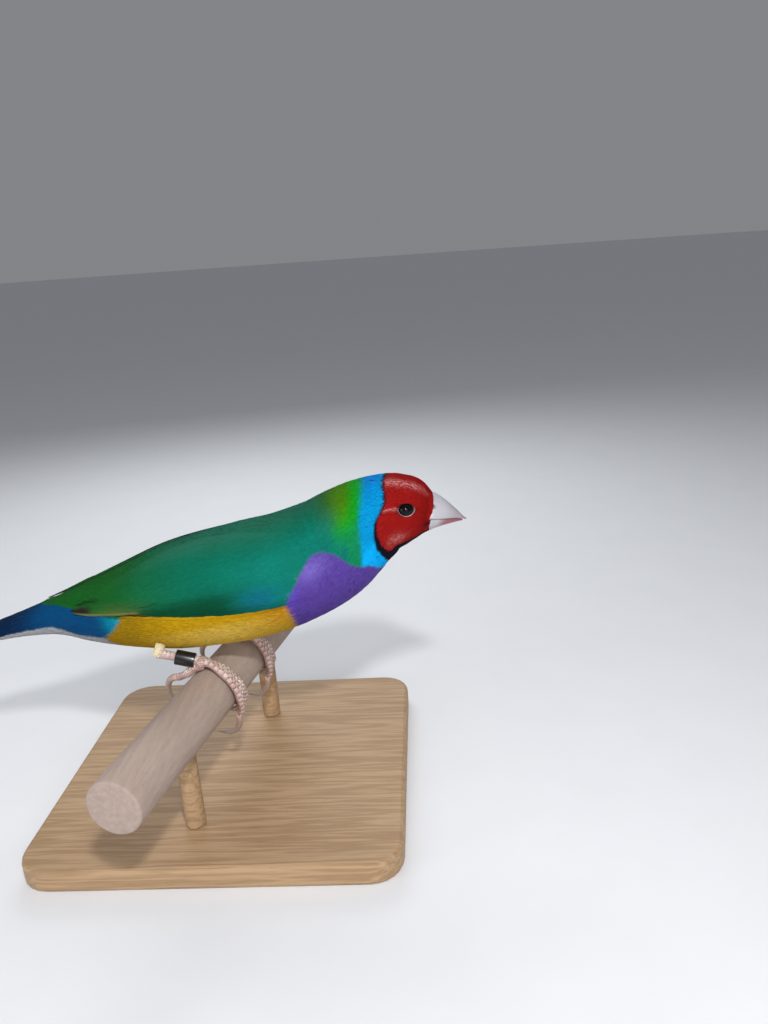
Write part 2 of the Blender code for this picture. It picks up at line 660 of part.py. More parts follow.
def make_foot(hand):
    """Three toes over the front of the perch and one behind it, with their claws."""
    axis = perch_frame(0.0, 0.0, 1.0) - perch_frame(0.0, 0.0, 0.0)
    toes = []
    steps = 10
    for name, toe in TOES.items():
        points = []
        radii = []
        for step in range(steps + 1):
            share = step / steps
            turn = PALM_TURN + share * (toe["end"] - PALM_TURN)
            along = FEET[hand] + toe["place"] * share + toe["bulge"] * math.sin(share * math.pi)
            knuckles = 0.18 * math.sin(share * math.pi * 4) ** 2
            away = FOOT_TOP + knuckles + PALM_LIFT * (1 - share) ** 4 + toe["lift"] * share ** 5
            points.append(perch_frame(turn, away, along))
            radii.append(TOE_RADIUS * (1.06 - 0.2 * share))
        toes.append(tube("toe", points, radii, FINISHES["leg"], CUTTERS, sides=1))
        direction = points[-1] - points[-2]
        start = points[-1] + direction / np.linalg.norm(direction) * GAP
        length = CLAW_LENGTH if toe["lift"] else HUGGING_CLAW_LENGTH
        rise = CLAW_RISE if toe["lift"] else 0.0
        claw("claw_" + hand + "_" + name, start, direction, axis, length, toe["sweep"], rise)
    points = []
    radii = []
    steps = 6
    for step in range(steps + 1):
        share = step / steps
        turn = PALM_TURN + share * (HALLUX_END_ANGLE - PALM_TURN)
        along = FEET[hand] - HALLUX_BULGE * math.sin(share * math.pi * 0.8)
        points.append(perch_frame(turn, FOOT_TOP + HALLUX_LIFT * share ** 5, along))
        radii.append(TOE_RADIUS * (1.02 - 0.16 * share))
    toes.append(tube("hallux", points, radii, FINISHES["leg"], CUTTERS, sides=1))
    direction = points[-1] - points[-2]
    start = points[-1] + direction / np.linalg.norm(direction) * GAP
    claw("claw_" + hand + "_hind", start, direction, -axis, HALLUX_CLAW_LENGTH, HALLUX_SWEEP, HALLUX_RISE)
    palm = ball("foot_" + hand, palm_centre(hand), PALM_RADIUS, FINISHES["leg"], MODEL, 12, 8)
    combine(palm, toes, "UNION")
    combine(palm, [shank_room(hand)], "DIFFERENCE")
    if hand == "right":
        combine(palm, [band_room()], "DIFFERENCE")
    return palm


def leg_ends(hand):
    """The shank's lower end beside the foot, its upper end at the heel, and its direction."""
    foot = palm_centre(hand)
    heel = np.array(HEEL_RIGHT if hand == "right" else HEEL_LEFT)
    direction = (heel - foot) / np.linalg.norm(heel - foot)
    return foot + direction * (PALM_RADIUS + GAP), heel, direction


def shank_room(hand):
    """The space round a shank that its neighbours keep clear of."""
    foot, heel, direction = leg_ends(hand)
    around = [foot - direction * GAP, heel + direction * GAP]
    return tube("shank_room", around, [SHANK_RADIUS * 1.16 + GAP] * 2, FINISHES["leg"], CUTTERS)


def band_room():
    """The space round the leg ring that the foot keeps clear of."""
    foot, heel, direction = leg_ends("right")
    middle = foot + (heel - foot) * BAND_PLACE
    half = BAND_LENGTH / 2 + GAP
    ends = [middle - direction * half, middle + direction * half]
    return tube("band_room", ends, [BAND_BORE + BAND_WALL + GAP] * 2, FINISHES["ring"], CUTTERS)


def make_leg(hand):
    foot, heel, direction = leg_ends(hand)
    shares = np.linspace(0.0, 1.0, 7)
    points = [foot + (heel - foot) * share for share in shares]
    radii = [SHANK_RADIUS * (1.0 + 0.16 * abs(2 * share - 1) ** 3) for share in shares]
    tube("shank_" + hand, points, radii, FINISHES["leg"], sides=2)
    root = np.array([heel[0] + 2.0, heel[1] * 0.85, 53.0])
    end = heel + direction * 1.4 + np.array([0.0, 0.0, -0.5])
    steps = np.linspace(0.0, 1.0, 6)
    path = [root + (end - root) * step for step in steps]
    sizes = [4.0 * (1 - step) ** 0.7 + 1.3 for step in steps]
    thigh = tube("thigh_" + hand, path, sizes, FINISHES["body"], sides=2)
    belly = body_length("belly_room", 5.0, TORSO_END - 6.0, 18, FINISHES["body"], GAP, CUTTERS)
    combine(thigh, [belly], "DIFFERENCE")
    combine(thigh, [shank_room(hand)], "DIFFERENCE")


def make_band():
    """The ring on the right shank: a turned profile carried round its axis, then laid along the shank."""
    foot, heel, direction = leg_ends("right")
    bore, outer, half = BAND_BORE, BAND_BORE + BAND_WALL, BAND_LENGTH / 2
    profile = [(outer, half - 0.1), (outer, -half + 0.1), (outer - 0.1, -half), (bore, -half), (bore, half),
               (outer - 0.1, half)]
    mesh = bpy.data.meshes.new("leg_band")
    mesh.from_pydata([(x * MM, 0.0, z * MM) for x, z in profile], [(i, (i + 1) % 6) for i in range(6)], [])
    band = place(bpy.data.objects.new("leg_band", mesh), FINISHES["ring"])
    turn = band.modifiers.new("turn", "SCREW")
    turn.axis = "Z"
    turn.steps = 28
    turn.render_steps = 28
    turn.use_merge_vertices = True
    turn.merge_threshold = 0.00001
    turn.use_normal_calculate = True
    band.location = Vector(foot + (heel - foot) * BAND_PLACE) * MM
    band.rotation_mode = "QUATERNION"
    band.rotation_quaternion = Vector(direction).to_track_quat("Z", "Y")
    return band


def make_perch():
    heading = math.radians(PERCH_TURN)
    length = PERCH_SPAN[1] - PERCH_SPAN[0]
    bpy.ops.mesh.primitive_cylinder_add(vertices=40, radius=PERCH_DIAMETER / 2 * MM, depth=length * MM)
    perch = from_primitive("perch", FINISHES["perch"])
    perch.data.transform(Matrix.Rotation(math.radians(90), 4, "X"))
    perch.location = Vector(perch_frame(0.0, 0.0, sum(PERCH_SPAN) / 2)) * MM
    perch.rotation_euler = (0.0, 0.0, -heading)
    edge = perch.modifiers.new("edge", "BEVEL")
    edge.width = 0.5 * MM
    edge.segments = 2
    perch.data.shade_smooth()
    perch.data.set_sharp_from_angle(angle=math.radians(40))
    return perch


def make_stand():
    bpy.ops.mesh.primitive_cube_add(size=1.0)
    base = from_primitive("stand_base", FINISHES["stand"])
    size = Matrix.Diagonal((BASE_LENGTH * MM, BASE_WIDTH * MM, BASE_THICKNESS * MM, 1.0))
    base.data.transform(Matrix.Translation((0.0, 0.0, BASE_THICKNESS / 2 * MM)) @ size)
    corner = bmesh.new()
    corner.from_mesh(base.data)
    upright = [edge for edge in corner.edges if abs(edge.verts[0].co.z - edge.verts[1].co.z) > MM]
    bmesh.ops.bevel(corner, geom=upright, offset=8.0 * MM, segments=6, affect="EDGES", profile=0.5)
    corner.to_mesh(base.data)
    corner.free()
    edge = base.modifiers.new("edge", "BEVEL")
    edge.width = BASE_EDGE * MM
    edge.segments = 2
    edge.limit_method = "ANGLE"
    edge.angle_limit = math.radians(50)
    for name, along in ROD_PLACES.items():
        foot = perch_frame(0.0, 0.0, along)
        low = BASE_THICKNESS + GAP
        bpy.ops.mesh.primitive_cylinder_add(vertices=24, radius=ROD_DIAMETER / 2 * MM,
                                            depth=(PERCH_HEIGHT - low) * MM)
        rod = from_primitive(name, FINISHES["stand"])
        centre = Vector((foot[0], foot[1], (PERCH_HEIGHT + low) / 2)) * MM
        rod.data.transform(Matrix.Translation(centre))
        room = tube("perch_room", [perch_frame(0, 0, along - 8), perch_frame(0, 0, along + 8)],
                    [PERCH_DIAMETER / 2 + GAP] * 2, FINISHES["perch"], CUTTERS, sides=8)
        combine(rod, [room], "DIFFERENCE")


def main():
    clear_scene()
    body_length("neck", HEAD_END - GAP, NECK_END, 8, FINISHES["collar"])
    body_length("torso", NECK_END - GAP, TORSO_END, 22, FINISHES["body"])
    make_coverts()
    make_head()
    make_bill()
    for name, wing in WINGS.items():
        make_wing(name, wing)
    make_tail()
    for hand in ("right", "left"):
        make_foot(hand)
        make_leg(hand)
    make_band()
    make_perch()
    make_stand()


main()
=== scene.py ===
"""Looks of a life-size gouldian finch that grips a perch on a display stand.

The bird looks along +X and its left side is +Y. Lengths are in millimetres until a mesh is made.
A place on the body is its section along the spine and its angle round it: 0 is the middle of the
back, +90 the left flank, -90 the right flank and 180 the middle of the belly.
"""

import math

import bpy
import numpy as np
from mathutils import Matrix, Vector


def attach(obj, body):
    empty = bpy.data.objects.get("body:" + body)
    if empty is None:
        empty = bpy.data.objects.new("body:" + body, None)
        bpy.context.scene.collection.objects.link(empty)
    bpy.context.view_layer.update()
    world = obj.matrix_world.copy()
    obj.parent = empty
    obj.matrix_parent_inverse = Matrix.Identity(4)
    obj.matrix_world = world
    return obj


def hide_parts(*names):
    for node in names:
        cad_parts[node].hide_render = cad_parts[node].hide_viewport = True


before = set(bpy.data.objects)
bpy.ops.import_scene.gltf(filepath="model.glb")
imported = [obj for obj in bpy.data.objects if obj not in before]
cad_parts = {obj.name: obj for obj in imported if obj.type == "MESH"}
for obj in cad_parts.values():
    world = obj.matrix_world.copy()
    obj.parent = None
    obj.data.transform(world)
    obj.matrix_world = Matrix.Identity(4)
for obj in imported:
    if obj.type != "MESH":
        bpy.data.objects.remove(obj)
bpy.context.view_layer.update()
MM = 0.001
RANDOM = np.random.default_rng(11)

# Sections of the body, as in the solids: x, z, above, below, half width, roll
SECTIONS = np.array([
    (56.1, 75.6, 4.8, 4.8, 4.6, 12.0),
    (53.4, 76.0, 7.5, 6.6, 6.6, 12.0),
    (49.8, 76.2, 9.0, 8.4, 8.1, 12.0),
    (45.5, 75.8, 9.9, 9.7, 9.1, 12.0),
    (40.5, 73.8, 11.2, 11.0, 10.0, 10.0),
    (36.0, 71.2, 12.2, 12.4, 11.0, 7.0),
    (30.0, 67.3, 13.3, 13.8, 12.2, 3.0),
    (20.5, 63.0, 14.3, 14.8, 13.4, 0.0),
    (8.7, 60.0, 14.9, 15.6, 13.8, 0.0),
    (-1.1, 58.2, 14.3, 15.2, 13.7, 0.0),
    (-12.6, 56.3, 12.7, 14.0, 13.0, 0.0),
    (-23.5, 54.7, 9.9, 11.5, 11.2, 0.0),
    (-33.1, 53.5, 7.4, 8.9, 8.6, 0.0),
    (-42.2, 52.4, 4.9, 5.5, 6.2, 0.0),
    (-50.5, 50.6, 3.5, 3.5, 5.2, 0.0),
    (-62.0, 47.9, 2.1, 2.0, 4.6, 0.0),
])
SECTION_POWER = 2.15
FACE = 56.1
COVERTS_END = -57.5
GAP = 0.3


def smooth_value(knots, values, where):
    """Cubic curve through the knots, whose slope at each is the mean of its neighbours' grades."""
    order = np.argsort(knots)
    knots = np.asarray(knots, float)[order]
    values = np.asarray(values, float)[order]
    steps = np.diff(knots)
    grades = np.diff(values) / steps
    slopes = np.empty_like(values)
    slopes[0] = grades[0]
    slopes[-1] = grades[-1]
    slopes[1:-1] = (grades[:-1] * steps[1:] + grades[1:] * steps[:-1]) / (steps[:-1] + steps[1:])
    where = np.asarray(where, float)
    cell = np.clip(np.searchsorted(knots, where) - 1, 0, len(steps) - 1)
    share = (where - knots[cell]) / steps[cell]
    rise = share * share * (3.0 - 2.0 * share)
    start_bend = share * (1.0 - share) ** 2 * steps[cell] * slopes[cell]
    end_bend = share * share * (share - 1.0) * steps[cell] * slopes[cell + 1]
    return values[cell] * (1.0 - rise) + values[cell + 1] * rise + start_bend + end_bend


def section_frame(along):
    """Middle, forward, up and side direction, heights and half width of the body at a section."""
    along = np.asarray(along, float)
    knots = SECTIONS[:, 0]
    height, above, below, width, roll = (smooth_value(knots, SECTIONS[:, i], along) for i in range(1, 6))
    ahead = smooth_value(knots, SECTIONS[:, 1], along + 0.5)
    behind = smooth_value(knots, SECTIONS[:, 1], along - 0.5)
    pitch = np.arctan2(ahead - behind, 1.0)
    roll = np.radians(roll)
    zero = np.zeros_like(along)
    middle = np.stack([along, zero, height], axis=-1)
    forward = np.stack([np.cos(pitch), zero, np.sin(pitch)], axis=-1)
    plain_up = np.stack([-np.sin(pitch), zero, np.cos(pitch)], axis=-1)
    plain_side = np.stack([zero, zero + 1.0, zero], axis=-1)
    up = plain_up * np.cos(roll)[..., None] + plain_side * np.sin(roll)[..., None]
    side = plain_side * np.cos(roll)[..., None] - plain_up * np.sin(roll)[..., None]
    return middle, forward, up, side, above, below, width


def body_shape(along, angle):
    """Superellipse across the spine: up by its cosine to a power, sideways by its sine to it."""
    along, angle = np.broadcast_arrays(np.asarray(along, float), angle)
    middle, _, up, side, above, below, width = section_frame(along)
    cosine = np.cos(angle)
    sine = np.sin(angle)
    power = 2.0 / SECTION_POWER
    rise = np.sign(cosine) * np.abs(cosine) ** power * np.where(cosine > 0, above, below)
    reach = np.sign(sine) * np.abs(sine) ** power * width
    return middle + up * rise[..., None] + side * reach[..., None]


SURFACE_ALONG = np.linspace(-66.0, 58.0, 621)
SURFACE_ANGLE = np.linspace(-math.pi, math.pi, 361)


def surface_table():
    """The body's points, its two tangents and its outward normal on a fine grid of places."""
    along = SURFACE_ALONG[:, None]
    angle = SURFACE_ANGLE[None, :]
    small = 0.02
    points = body_shape(along, angle)
    along_tangent = (body_shape(along + small, angle) - body_shape(along - small, angle)) / (2 * small)
    round_tangent = (body_shape(along, angle + small) - body_shape(along, angle - small)) / (2 * small)
    normal = np.cross(along_tangent, round_tangent)
    normal /= np.linalg.norm(normal, axis=-1, keepdims=True)
    return np.concatenate([points, along_tangent, round_tangent, normal], axis=-1)


SURFACE = surface_table()


def on_body(along, angle, out=0.0):
    """Points at a distance outside the body, its tangents and normals, mixed from the fine grid."""
    along, angle, out = np.broadcast_arrays(np.asarray(along, float), np.asarray(angle, float), out)
    step = SURFACE_ALONG[1] - SURFACE_ALONG[0]
    turn = SURFACE_ANGLE[1] - SURFACE_ANGLE[0]
    row = np.clip((along - SURFACE_ALONG[0]) / step, 0, len(SURFACE_ALONG) - 1.001)
    column = ((angle + math.pi) % (2 * math.pi)) / turn
    low = row.astype(int)
    left = np.minimum(column.astype(int), len(SURFACE_ANGLE) - 2)
    up = (row - low)[..., None]
    right = (column - left)[..., None]
    mixed = SURFACE[low, left] * (1 - up) * (1 - right) + SURFACE[low + 1, left] * up * (1 - right)
    mixed = mixed + SURFACE[low, left + 1] * (1 - up) * right + SURFACE[low + 1, left + 1] * up * right
    points, along_tangent, round_tangent, normal = np.split(mixed, 4, axis=-1)
    return points + normal * out[..., None], along_tangent, round_tangent, normal


def blend(low, high, value):
    """0 below low, 1 above high, and a smooth step between them."""
    share = np.clip((value - low) / (high - low), 0.0, 1.0)
    return share * share * (3.0 - 2.0 * share)


def ripple(*waves):
    """Sum of sines that stands in for a smooth random value between about -1 and 1."""
    return sum(np.sin(wave) for wave in waves) / len(waves)


# Colours, as a camera's numbers from 0 to 255, made linear
def tone(red, green, blue):
    value = np.array([red, green, blue]) / 255.0
    return np.where(value <= 0.04045, value / 12.92, ((value + 0.055) / 1.055) ** 2.4)


RED = tone(148, 21, 19)
# Paler red of the mask's painted highlights, and the pale pink of painted highlight flecks on single tufts
RED_HIGHLIGHT = tone(190, 84, 84)
HIGHLIGHT_FLECK = tone(222, 168, 168)
BLACK = tone(16, 13, 28)
SKY = tone(2, 144, 204)
SKY_DEEP = tone(2, 128, 210)
AQUA = tone(2, 146, 172)
LEAF = tone(20, 148, 28)
OLIVE = tone(68, 122, 4)
MOSS = tone(46, 92, 30)
SEA = tone(8, 115, 100)
TEAL = tone(4, 101, 78)
# Greyer green of a painted sheen along the top of the back and wings
SLATE_SHEEN = tone(34, 100, 78)
FOREST = tone(2, 68, 42)
GRASS = tone(20, 90, 30)
LAGOON = tone(10, 100, 122)
VIOLET = tone(87, 64, 150)
VIOLET_DEEP = tone(100, 74, 194)
VIOLET_LIGHT = tone(118, 100, 186)
GOLD = tone(188, 147, 14)
GOLD_WARM = tone(183, 126, 6)
# Paler gold of the painted bounce light low on the belly
GOLD_BOUNCE_LIT = tone(216, 186, 92)
COBALT = tone(2, 68, 114)
NAVY = tone(4, 34, 68)
# White of the undertail coverts, greyed by painted shade
SHADED_UNDERTAIL_WHITE = tone(158, 159, 164)
UMBER = tone(38, 30, 26)
BUFF = tone(120, 116, 72)
CREAM = tone(228, 214, 176)

# Edges of the markings, read off the bird: sections or angles that a border passes through
MASK_EDGE = ((0, 31, 52, 68, 82, 90, 99, 110, 122, 144, 180),
             (46.6, 46.1, 46.0, 46.0, 45.1, 43.8, 42.7, 42.0, 41.6, 41.9, 41.8))
BLACK_WIDTH = ((0, 60, 95, 120, 140, 180), (0.24, 0.24, 0.34, 0.80, 1.05, 1.2))
RED_FLOOR = ((41.5, 43.3, 47.4, 50.6, 56.1), (116, 138, 146, 150, 150))
COLLAR_EDGE = ((0, 41, 68, 88, 102, 114, 126, 180), (42.9, 42.9, 41.6, 39.7, 38.4, 37.0, 35.2, 34.0))
VIOLET_TOP = ((15.0, 18.4, 19.6, 22.8, 26.0, 28.2, 30.9, 32.2, 33.3, 34.1, 35.5, 37.5, 38.6, 40.0),
              (128, 106, 100, 91, 84, 79, 82, 88, 98, 113, 126, 140, 166, 180))
VIOLET_END = ((0, 106, 120, 157, 180), (18.6, 18.4, 18.0, 16.6, 16.2))
GOLD_END = ((0, 89, 100, 122, 150, 180), (-21.5, -22.1, -24.3, -28.6, -25.0, -22.0))
GREEN_END = ((-47.0, -45.2, -40.0, -34.9, -28.0, -20.0), (0, 16, 44, 63, 80, 92))


def mix(first, second, share):
    """First colour where share is 0 and second where it is 1."""
    share = np.asarray(share)[..., None]
    return first * (1 - share) + second * share


def green(along, turn):
    """Green of the back and wings: blue-green in front, grass green behind, greyer along the spine as a
    painted sheen.
    """
    wave = ripple(along * 0.55 + turn * 0.05, along * 0.23 - turn * 0.11, turn * 0.19 + 2.0)
    colour = mix(TEAL, SEA, blend(-2.0, 20.0, along) * blend(30.0, 72.0, turn))
    colour = mix(colour, GRASS, blend(2.0, -27.0, along))
    # Painted sheen: greyer green along the top of the back and wings
    colour = mix(colour, SLATE_SHEEN, 0.6 * blend(56.0, 12.0, turn) * blend(-20.0, 0.0, along))
    return colour * (1.0 + 0.07 * wave)[..., None]


def red_highlights_and_streak(along, turn):
    """Where the mask's red is paler: painted highlights in a band along the crown and low on the cheek, and a
    pale streak behind the eye.
    """
    stroke = 0.55 + 0.45 * np.sin(turn * 2.3 + along * 0.9) * np.sin(turn * 0.9 - along * 2.1)
    # Painted highlight low on the cheek, then a painted highlight band along the crown, both broken into
    # strokes
    low = np.exp(-((along - 47.4) / 2.4) ** 2 - ((turn - 130) / 9.0) ** 2)
    crown = np.exp(-((turn - 37 - (along - 47) * 0.8) / 8.0) ** 2)
    crown = crown * blend(56.0, 52.0, along) * blend(44.8, 46.0, along)
    streak = np.exp(-((turn - 84 - (along - 48) * 0.5) / 1.8) ** 2)
    streak = streak * blend(44.6, 45.8, along) * blend(49.2, 47.6, along)
    return np.maximum(np.maximum(low, crown) * (0.35 + 0.65 * stroke), streak)


def markings(along, angle):
    """Colour of the plumage at each place, alike on both sides of the body.

    Each zone is laid over the last: the green back, rump, belly, violet breast, then the collar
    with its bands, the black line and the mask. Every border is a smooth curve through its edge.
    """
    turn = np.degrees(np.abs((np.asarray(angle) + math.pi) % (2 * math.pi) - math.pi))
    along = np.asarray(along, float)
    colour = green(along, turn)
    rump = mix(mix(AQUA, COBALT, blend(-22.0, -30.0, along)), NAVY, blend(-42.0, -55.0, along))
    green_end = smooth_value(*GREEN_END, np.clip(along, -47.0, -20.0))
    is_rump = blend(-1.5, 1.5, turn - green_end) * blend(-18.0, -22.0, along)
    colour = mix(colour, rump, np.maximum(is_rump, blend(-45.8, -46.8, along)))
    belly_gold_lit_and_shaded = mix(GOLD, GOLD_WARM, blend(6.0, 18.0, along) * blend(150, 110, turn))
    # Painted shade: the gold darker towards the rear of the underside, under the body by the legs
    belly_gold_lit_and_shaded = mix(belly_gold_lit_and_shaded, belly_gold_lit_and_shaded * 0.62, blend(-6.0, -22.0, along) * blend(170, 120, turn))
    # Painted bounce light: the gold paler low on the middle of the belly
    bounce_light = np.exp(-((along - 1.0) / 13.0) ** 2) * blend(105, 120, turn)
    belly_gold_lit_and_shaded = mix(belly_gold_lit_and_shaded, GOLD_BOUNCE_LIT, 0.60 * bounce_light)
    gold_end = smooth_value(*GOLD_END, turn)
    is_gold = blend(84, 88, turn) * blend(-0.5, 0.5, along - gold_end) * blend(24.0, 22.0, along)
    belly = mix(colour, belly_gold_lit_and_shaded, is_gold)
    # Undertail coverts: white darkened to grey by painted shade
    is_undertail = blend(-0.8, 0.8, gold_end - along) * blend(116, 124, turn + blend(-36, -44, along) * 20)
    colour = mix(belly, SHADED_UNDERTAIL_WHITE, is_undertail)
    top = smooth_value(*VIOLET_TOP, np.clip(along, 15.0, 40.0))
    violet = mix(VIOLET, VIOLET_DEEP, blend(24.0, 19.0, along) * blend(118, 100, turn))
    violet = mix(violet, VIOLET_LIGHT, 0.8 * np.exp(-((along - 27.0) / 3.4) ** 2 - ((turn - 88) / 9.0) ** 2))
    violet = mix(violet, VIOLET_LIGHT, 0.35 * blend(135, 165, turn))
    is_violet = blend(-1.6, 1.6, turn - top) * blend(-0.35, 0.35, along - smooth_value(*VIOLET_END, turn))
    colour = mix(colour, violet, is_violet * blend(40.5, 39.5, along))
    past = smooth_value(*COLLAR_EDGE, turn) - along
    low = blend(70, 100, turn)
    bands = mix(LEAF, OLIVE, blend(1.2, 3.6, past) * blend(84, 48, turn))
    bands = mix(bands, mix(MOSS, SEA, blend(30, 84, turn)), blend(3.6, 8.0, past))
    bands = mix(bands, SEA, np.maximum(blend(0.5, 4.5, past) * low, 0.62 * low))
    front = np.clip(blend(11.0, 5.5, past) * (1 - is_violet), 0, 1)
    colour = mix(colour, bands, front * (along > 24.0))
    sky = mix(SKY, SKY_DEEP, blend(80, 20, turn) * blend(-4.5, -0.5, past))
    sky = mix(sky, SKY * 1.45, blend(106, 122, turn))
    sky = mix(sky, AQUA, 0.6 * blend(-0.9, 0.4, past))
    throat = np.maximum(past, (along < 38.2) * blend(150, 165, turn) * 9.0 - 4.5)
    colour = mix(colour, sky, blend(0.9, -0.9, throat) * (along > 34.0) * (1 - is_violet * (along < 38.6)))
    beyond = along - smooth_value(*MASK_EDGE, turn) + 0.10 * np.sin(turn * 0.42)
    width = smooth_value(*BLACK_WIDTH, turn)
    colour = mix(colour, BLACK, blend(-0.18, 0.18, beyond + width))
    floor = smooth_value(*RED_FLOOR, np.clip(along, 41.5, 56.1))
    # The mask's red, lighter where highlights are painted on the crown and cheek
    red = mix(RED, RED_HIGHLIGHT, 0.5 * red_highlights_and_streak(along, turn))
    colour = mix(colour, red, blend(-0.12, 0.12, beyond - width) * blend(1.5, -1.5, turn - floor))
    gape = np.exp(-((along - 55.3) / 0.75) ** 2 - ((turn - 120) / 10.0) ** 2)
    return mix(colour, BLACK, 0.85 * gape)


def tile_faces(template, count, stride):
    """The same faces again for each of many like forms whose points follow one another."""
    template = np.asarray(template)
    return (template[None] + (np.arange(count) * stride)[:, None, None]).reshape(-1, template.shape[1])


def grid_faces(rows, columns, wrap=False, close=False):
    """Quads of a grid of points in row order, its last column and row joined to the first if asked."""
    row, column = np.meshgrid(
        np.arange(rows if close else rows - 1), np.arange(columns if wrap else columns - 1), indexing="ij")
    below = (row + 1) % rows
    after = (column + 1) % columns
    quads = [row * columns + column, row * columns + after, below * columns + after, below * columns + column]
    return np.stack(quads, axis=-1).reshape(-1, 4)


def triangles(faces):
    """Triangles of a set of quads or triangles."""
    if faces.shape[1] == 3:
        return faces
    return np.concatenate([faces[:, [0, 1, 2]], faces[:, [0, 2, 3]]])


def loft(rings):
    """A closed form through rings of points, with a fan to the middle of each end ring."""
    rows, columns, _ = rings.shape
    points = np.concatenate([rings.reshape(-1, 3), rings[:1].mean(1), rings[-1:].mean(1)])
    start, end = rows * columns, rows * columns + 1
    column = np.arange(columns)
    after = (column + 1) % columns
    last = (rows - 1) * columns
    fans = np.concatenate([
        np.stack([after, column, np.full(columns, start)], axis=-1),
        np.stack([last + column, last + after, np.full(columns, end)], axis=-1),
    ])
    return points, [grid_faces(rows, columns, wrap=True), fans]


def plate(outer, inner):
    """A closed thin form between two like grids, joined round their rim."""
    rows, columns, _ = outer.shape
    count = rows * columns
    grid = grid_faces(rows, columns)
    index = np.arange(count).reshape(rows, columns)
    rim = np.concatenate([index[0], index[1:, -1], index[-1, -2::-1], index[-2:0:-1, 0]])
    after = np.roll(rim, -1)
    sides = np.stack([rim, rim + count, after + count, after], axis=-1)
    return np.concatenate([outer.reshape(-1, 3), inner.reshape(-1, 3)]), [grid, grid[:, ::-1] + count, sides]


def join(forms):
    """Several forms of points and faces, with their face arrays renumbered, as one."""
    points, faces, base = [], [], 0
    for form_points, form_faces in forms:
        points.append(form_points)
        faces += [block + base for block in form_faces]
        base += len(form_points)
    return np.concatenate(points), faces


def outward(form):
    """The form with its faces turned round as a whole if they enclose a negative volume."""
    points, faces = form
    volume = 0.0
    for block in faces:
        a, b, c = (points[triangles(block)[:, i]] for i in range(3))
        volume += np.einsum("ij,ij->i", a, np.cross(b, c)).sum()
    return points, faces if volume > 0 else [block[:, ::-1] for block in faces]


def piece(name, form, paint, replaced=(), tint=None, maps=None, smooth=True):
    """A finished mesh from a form: its colours, maps and values are one row for each point."""
    points, faces = outward(form)
    mesh = bpy.data.meshes.new(name)
    mesh.vertices.add(len(points))
    mesh.vertices.foreach_set("co", (points * MM).astype(np.float32).ravel())
    corners = np.concatenate([block.ravel() for block in faces])
    sizes = np.concatenate([np.full(len(block), block.shape[1]) for block in faces])
    mesh.loops.add(len(corners))
    mesh.loops.foreach_set("vertex_index", corners.astype(np.int32))
    mesh.polygons.add(len(sizes))
    mesh.polygons.foreach_set("loop_start", (np.cumsum(sizes) - sizes).astype(np.int32))
    mesh.update(calc_edges=True)
    mesh.validate()
    if smooth:
        mesh.shade_smooth()
    else:
        mesh.shade_flat()
    if tint is not None:
        rows = np.concatenate([tint, np.ones((len(points), 1))], axis=1).astype(np.float32)
        mesh.color_attributes.new("Tint", "FLOAT_COLOR", "POINT").data.foreach_set("color", rows.ravel())
    for key, value in (maps or {}).items():
        mesh.uv_layers.new(name=key).data.foreach_set("uv", value[corners].astype(np.float32).ravel())
    item = bpy.data.objects.new(name, mesh)
    bpy.context.scene.collection.objects.link(item)
    mesh.materials.append(paint.material)
    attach(item, "root")
    if replaced:
        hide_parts(*replaced)
    return item


class Wire:
    """A node's socket in an expression: each operator adds the Math node that works it out."""

    def __init__(self, paint, socket):
        self.paint = paint
        self.socket = socket

    def __add__(self, other):
        return self.paint.math("ADD", self, other)

    def __sub__(self, other):
        return self.paint.math("SUBTRACT", self, other)

    def __rsub__(self, other):
        return self.paint.math("SUBTRACT", other, self)

    def __mul__(self, other):
        return self.paint.math("MULTIPLY", self, other)

    def __pow__(self, other):
        return self.paint.math("POWER", self, other)

    __radd__ = __add__
    __rmul__ = __mul__


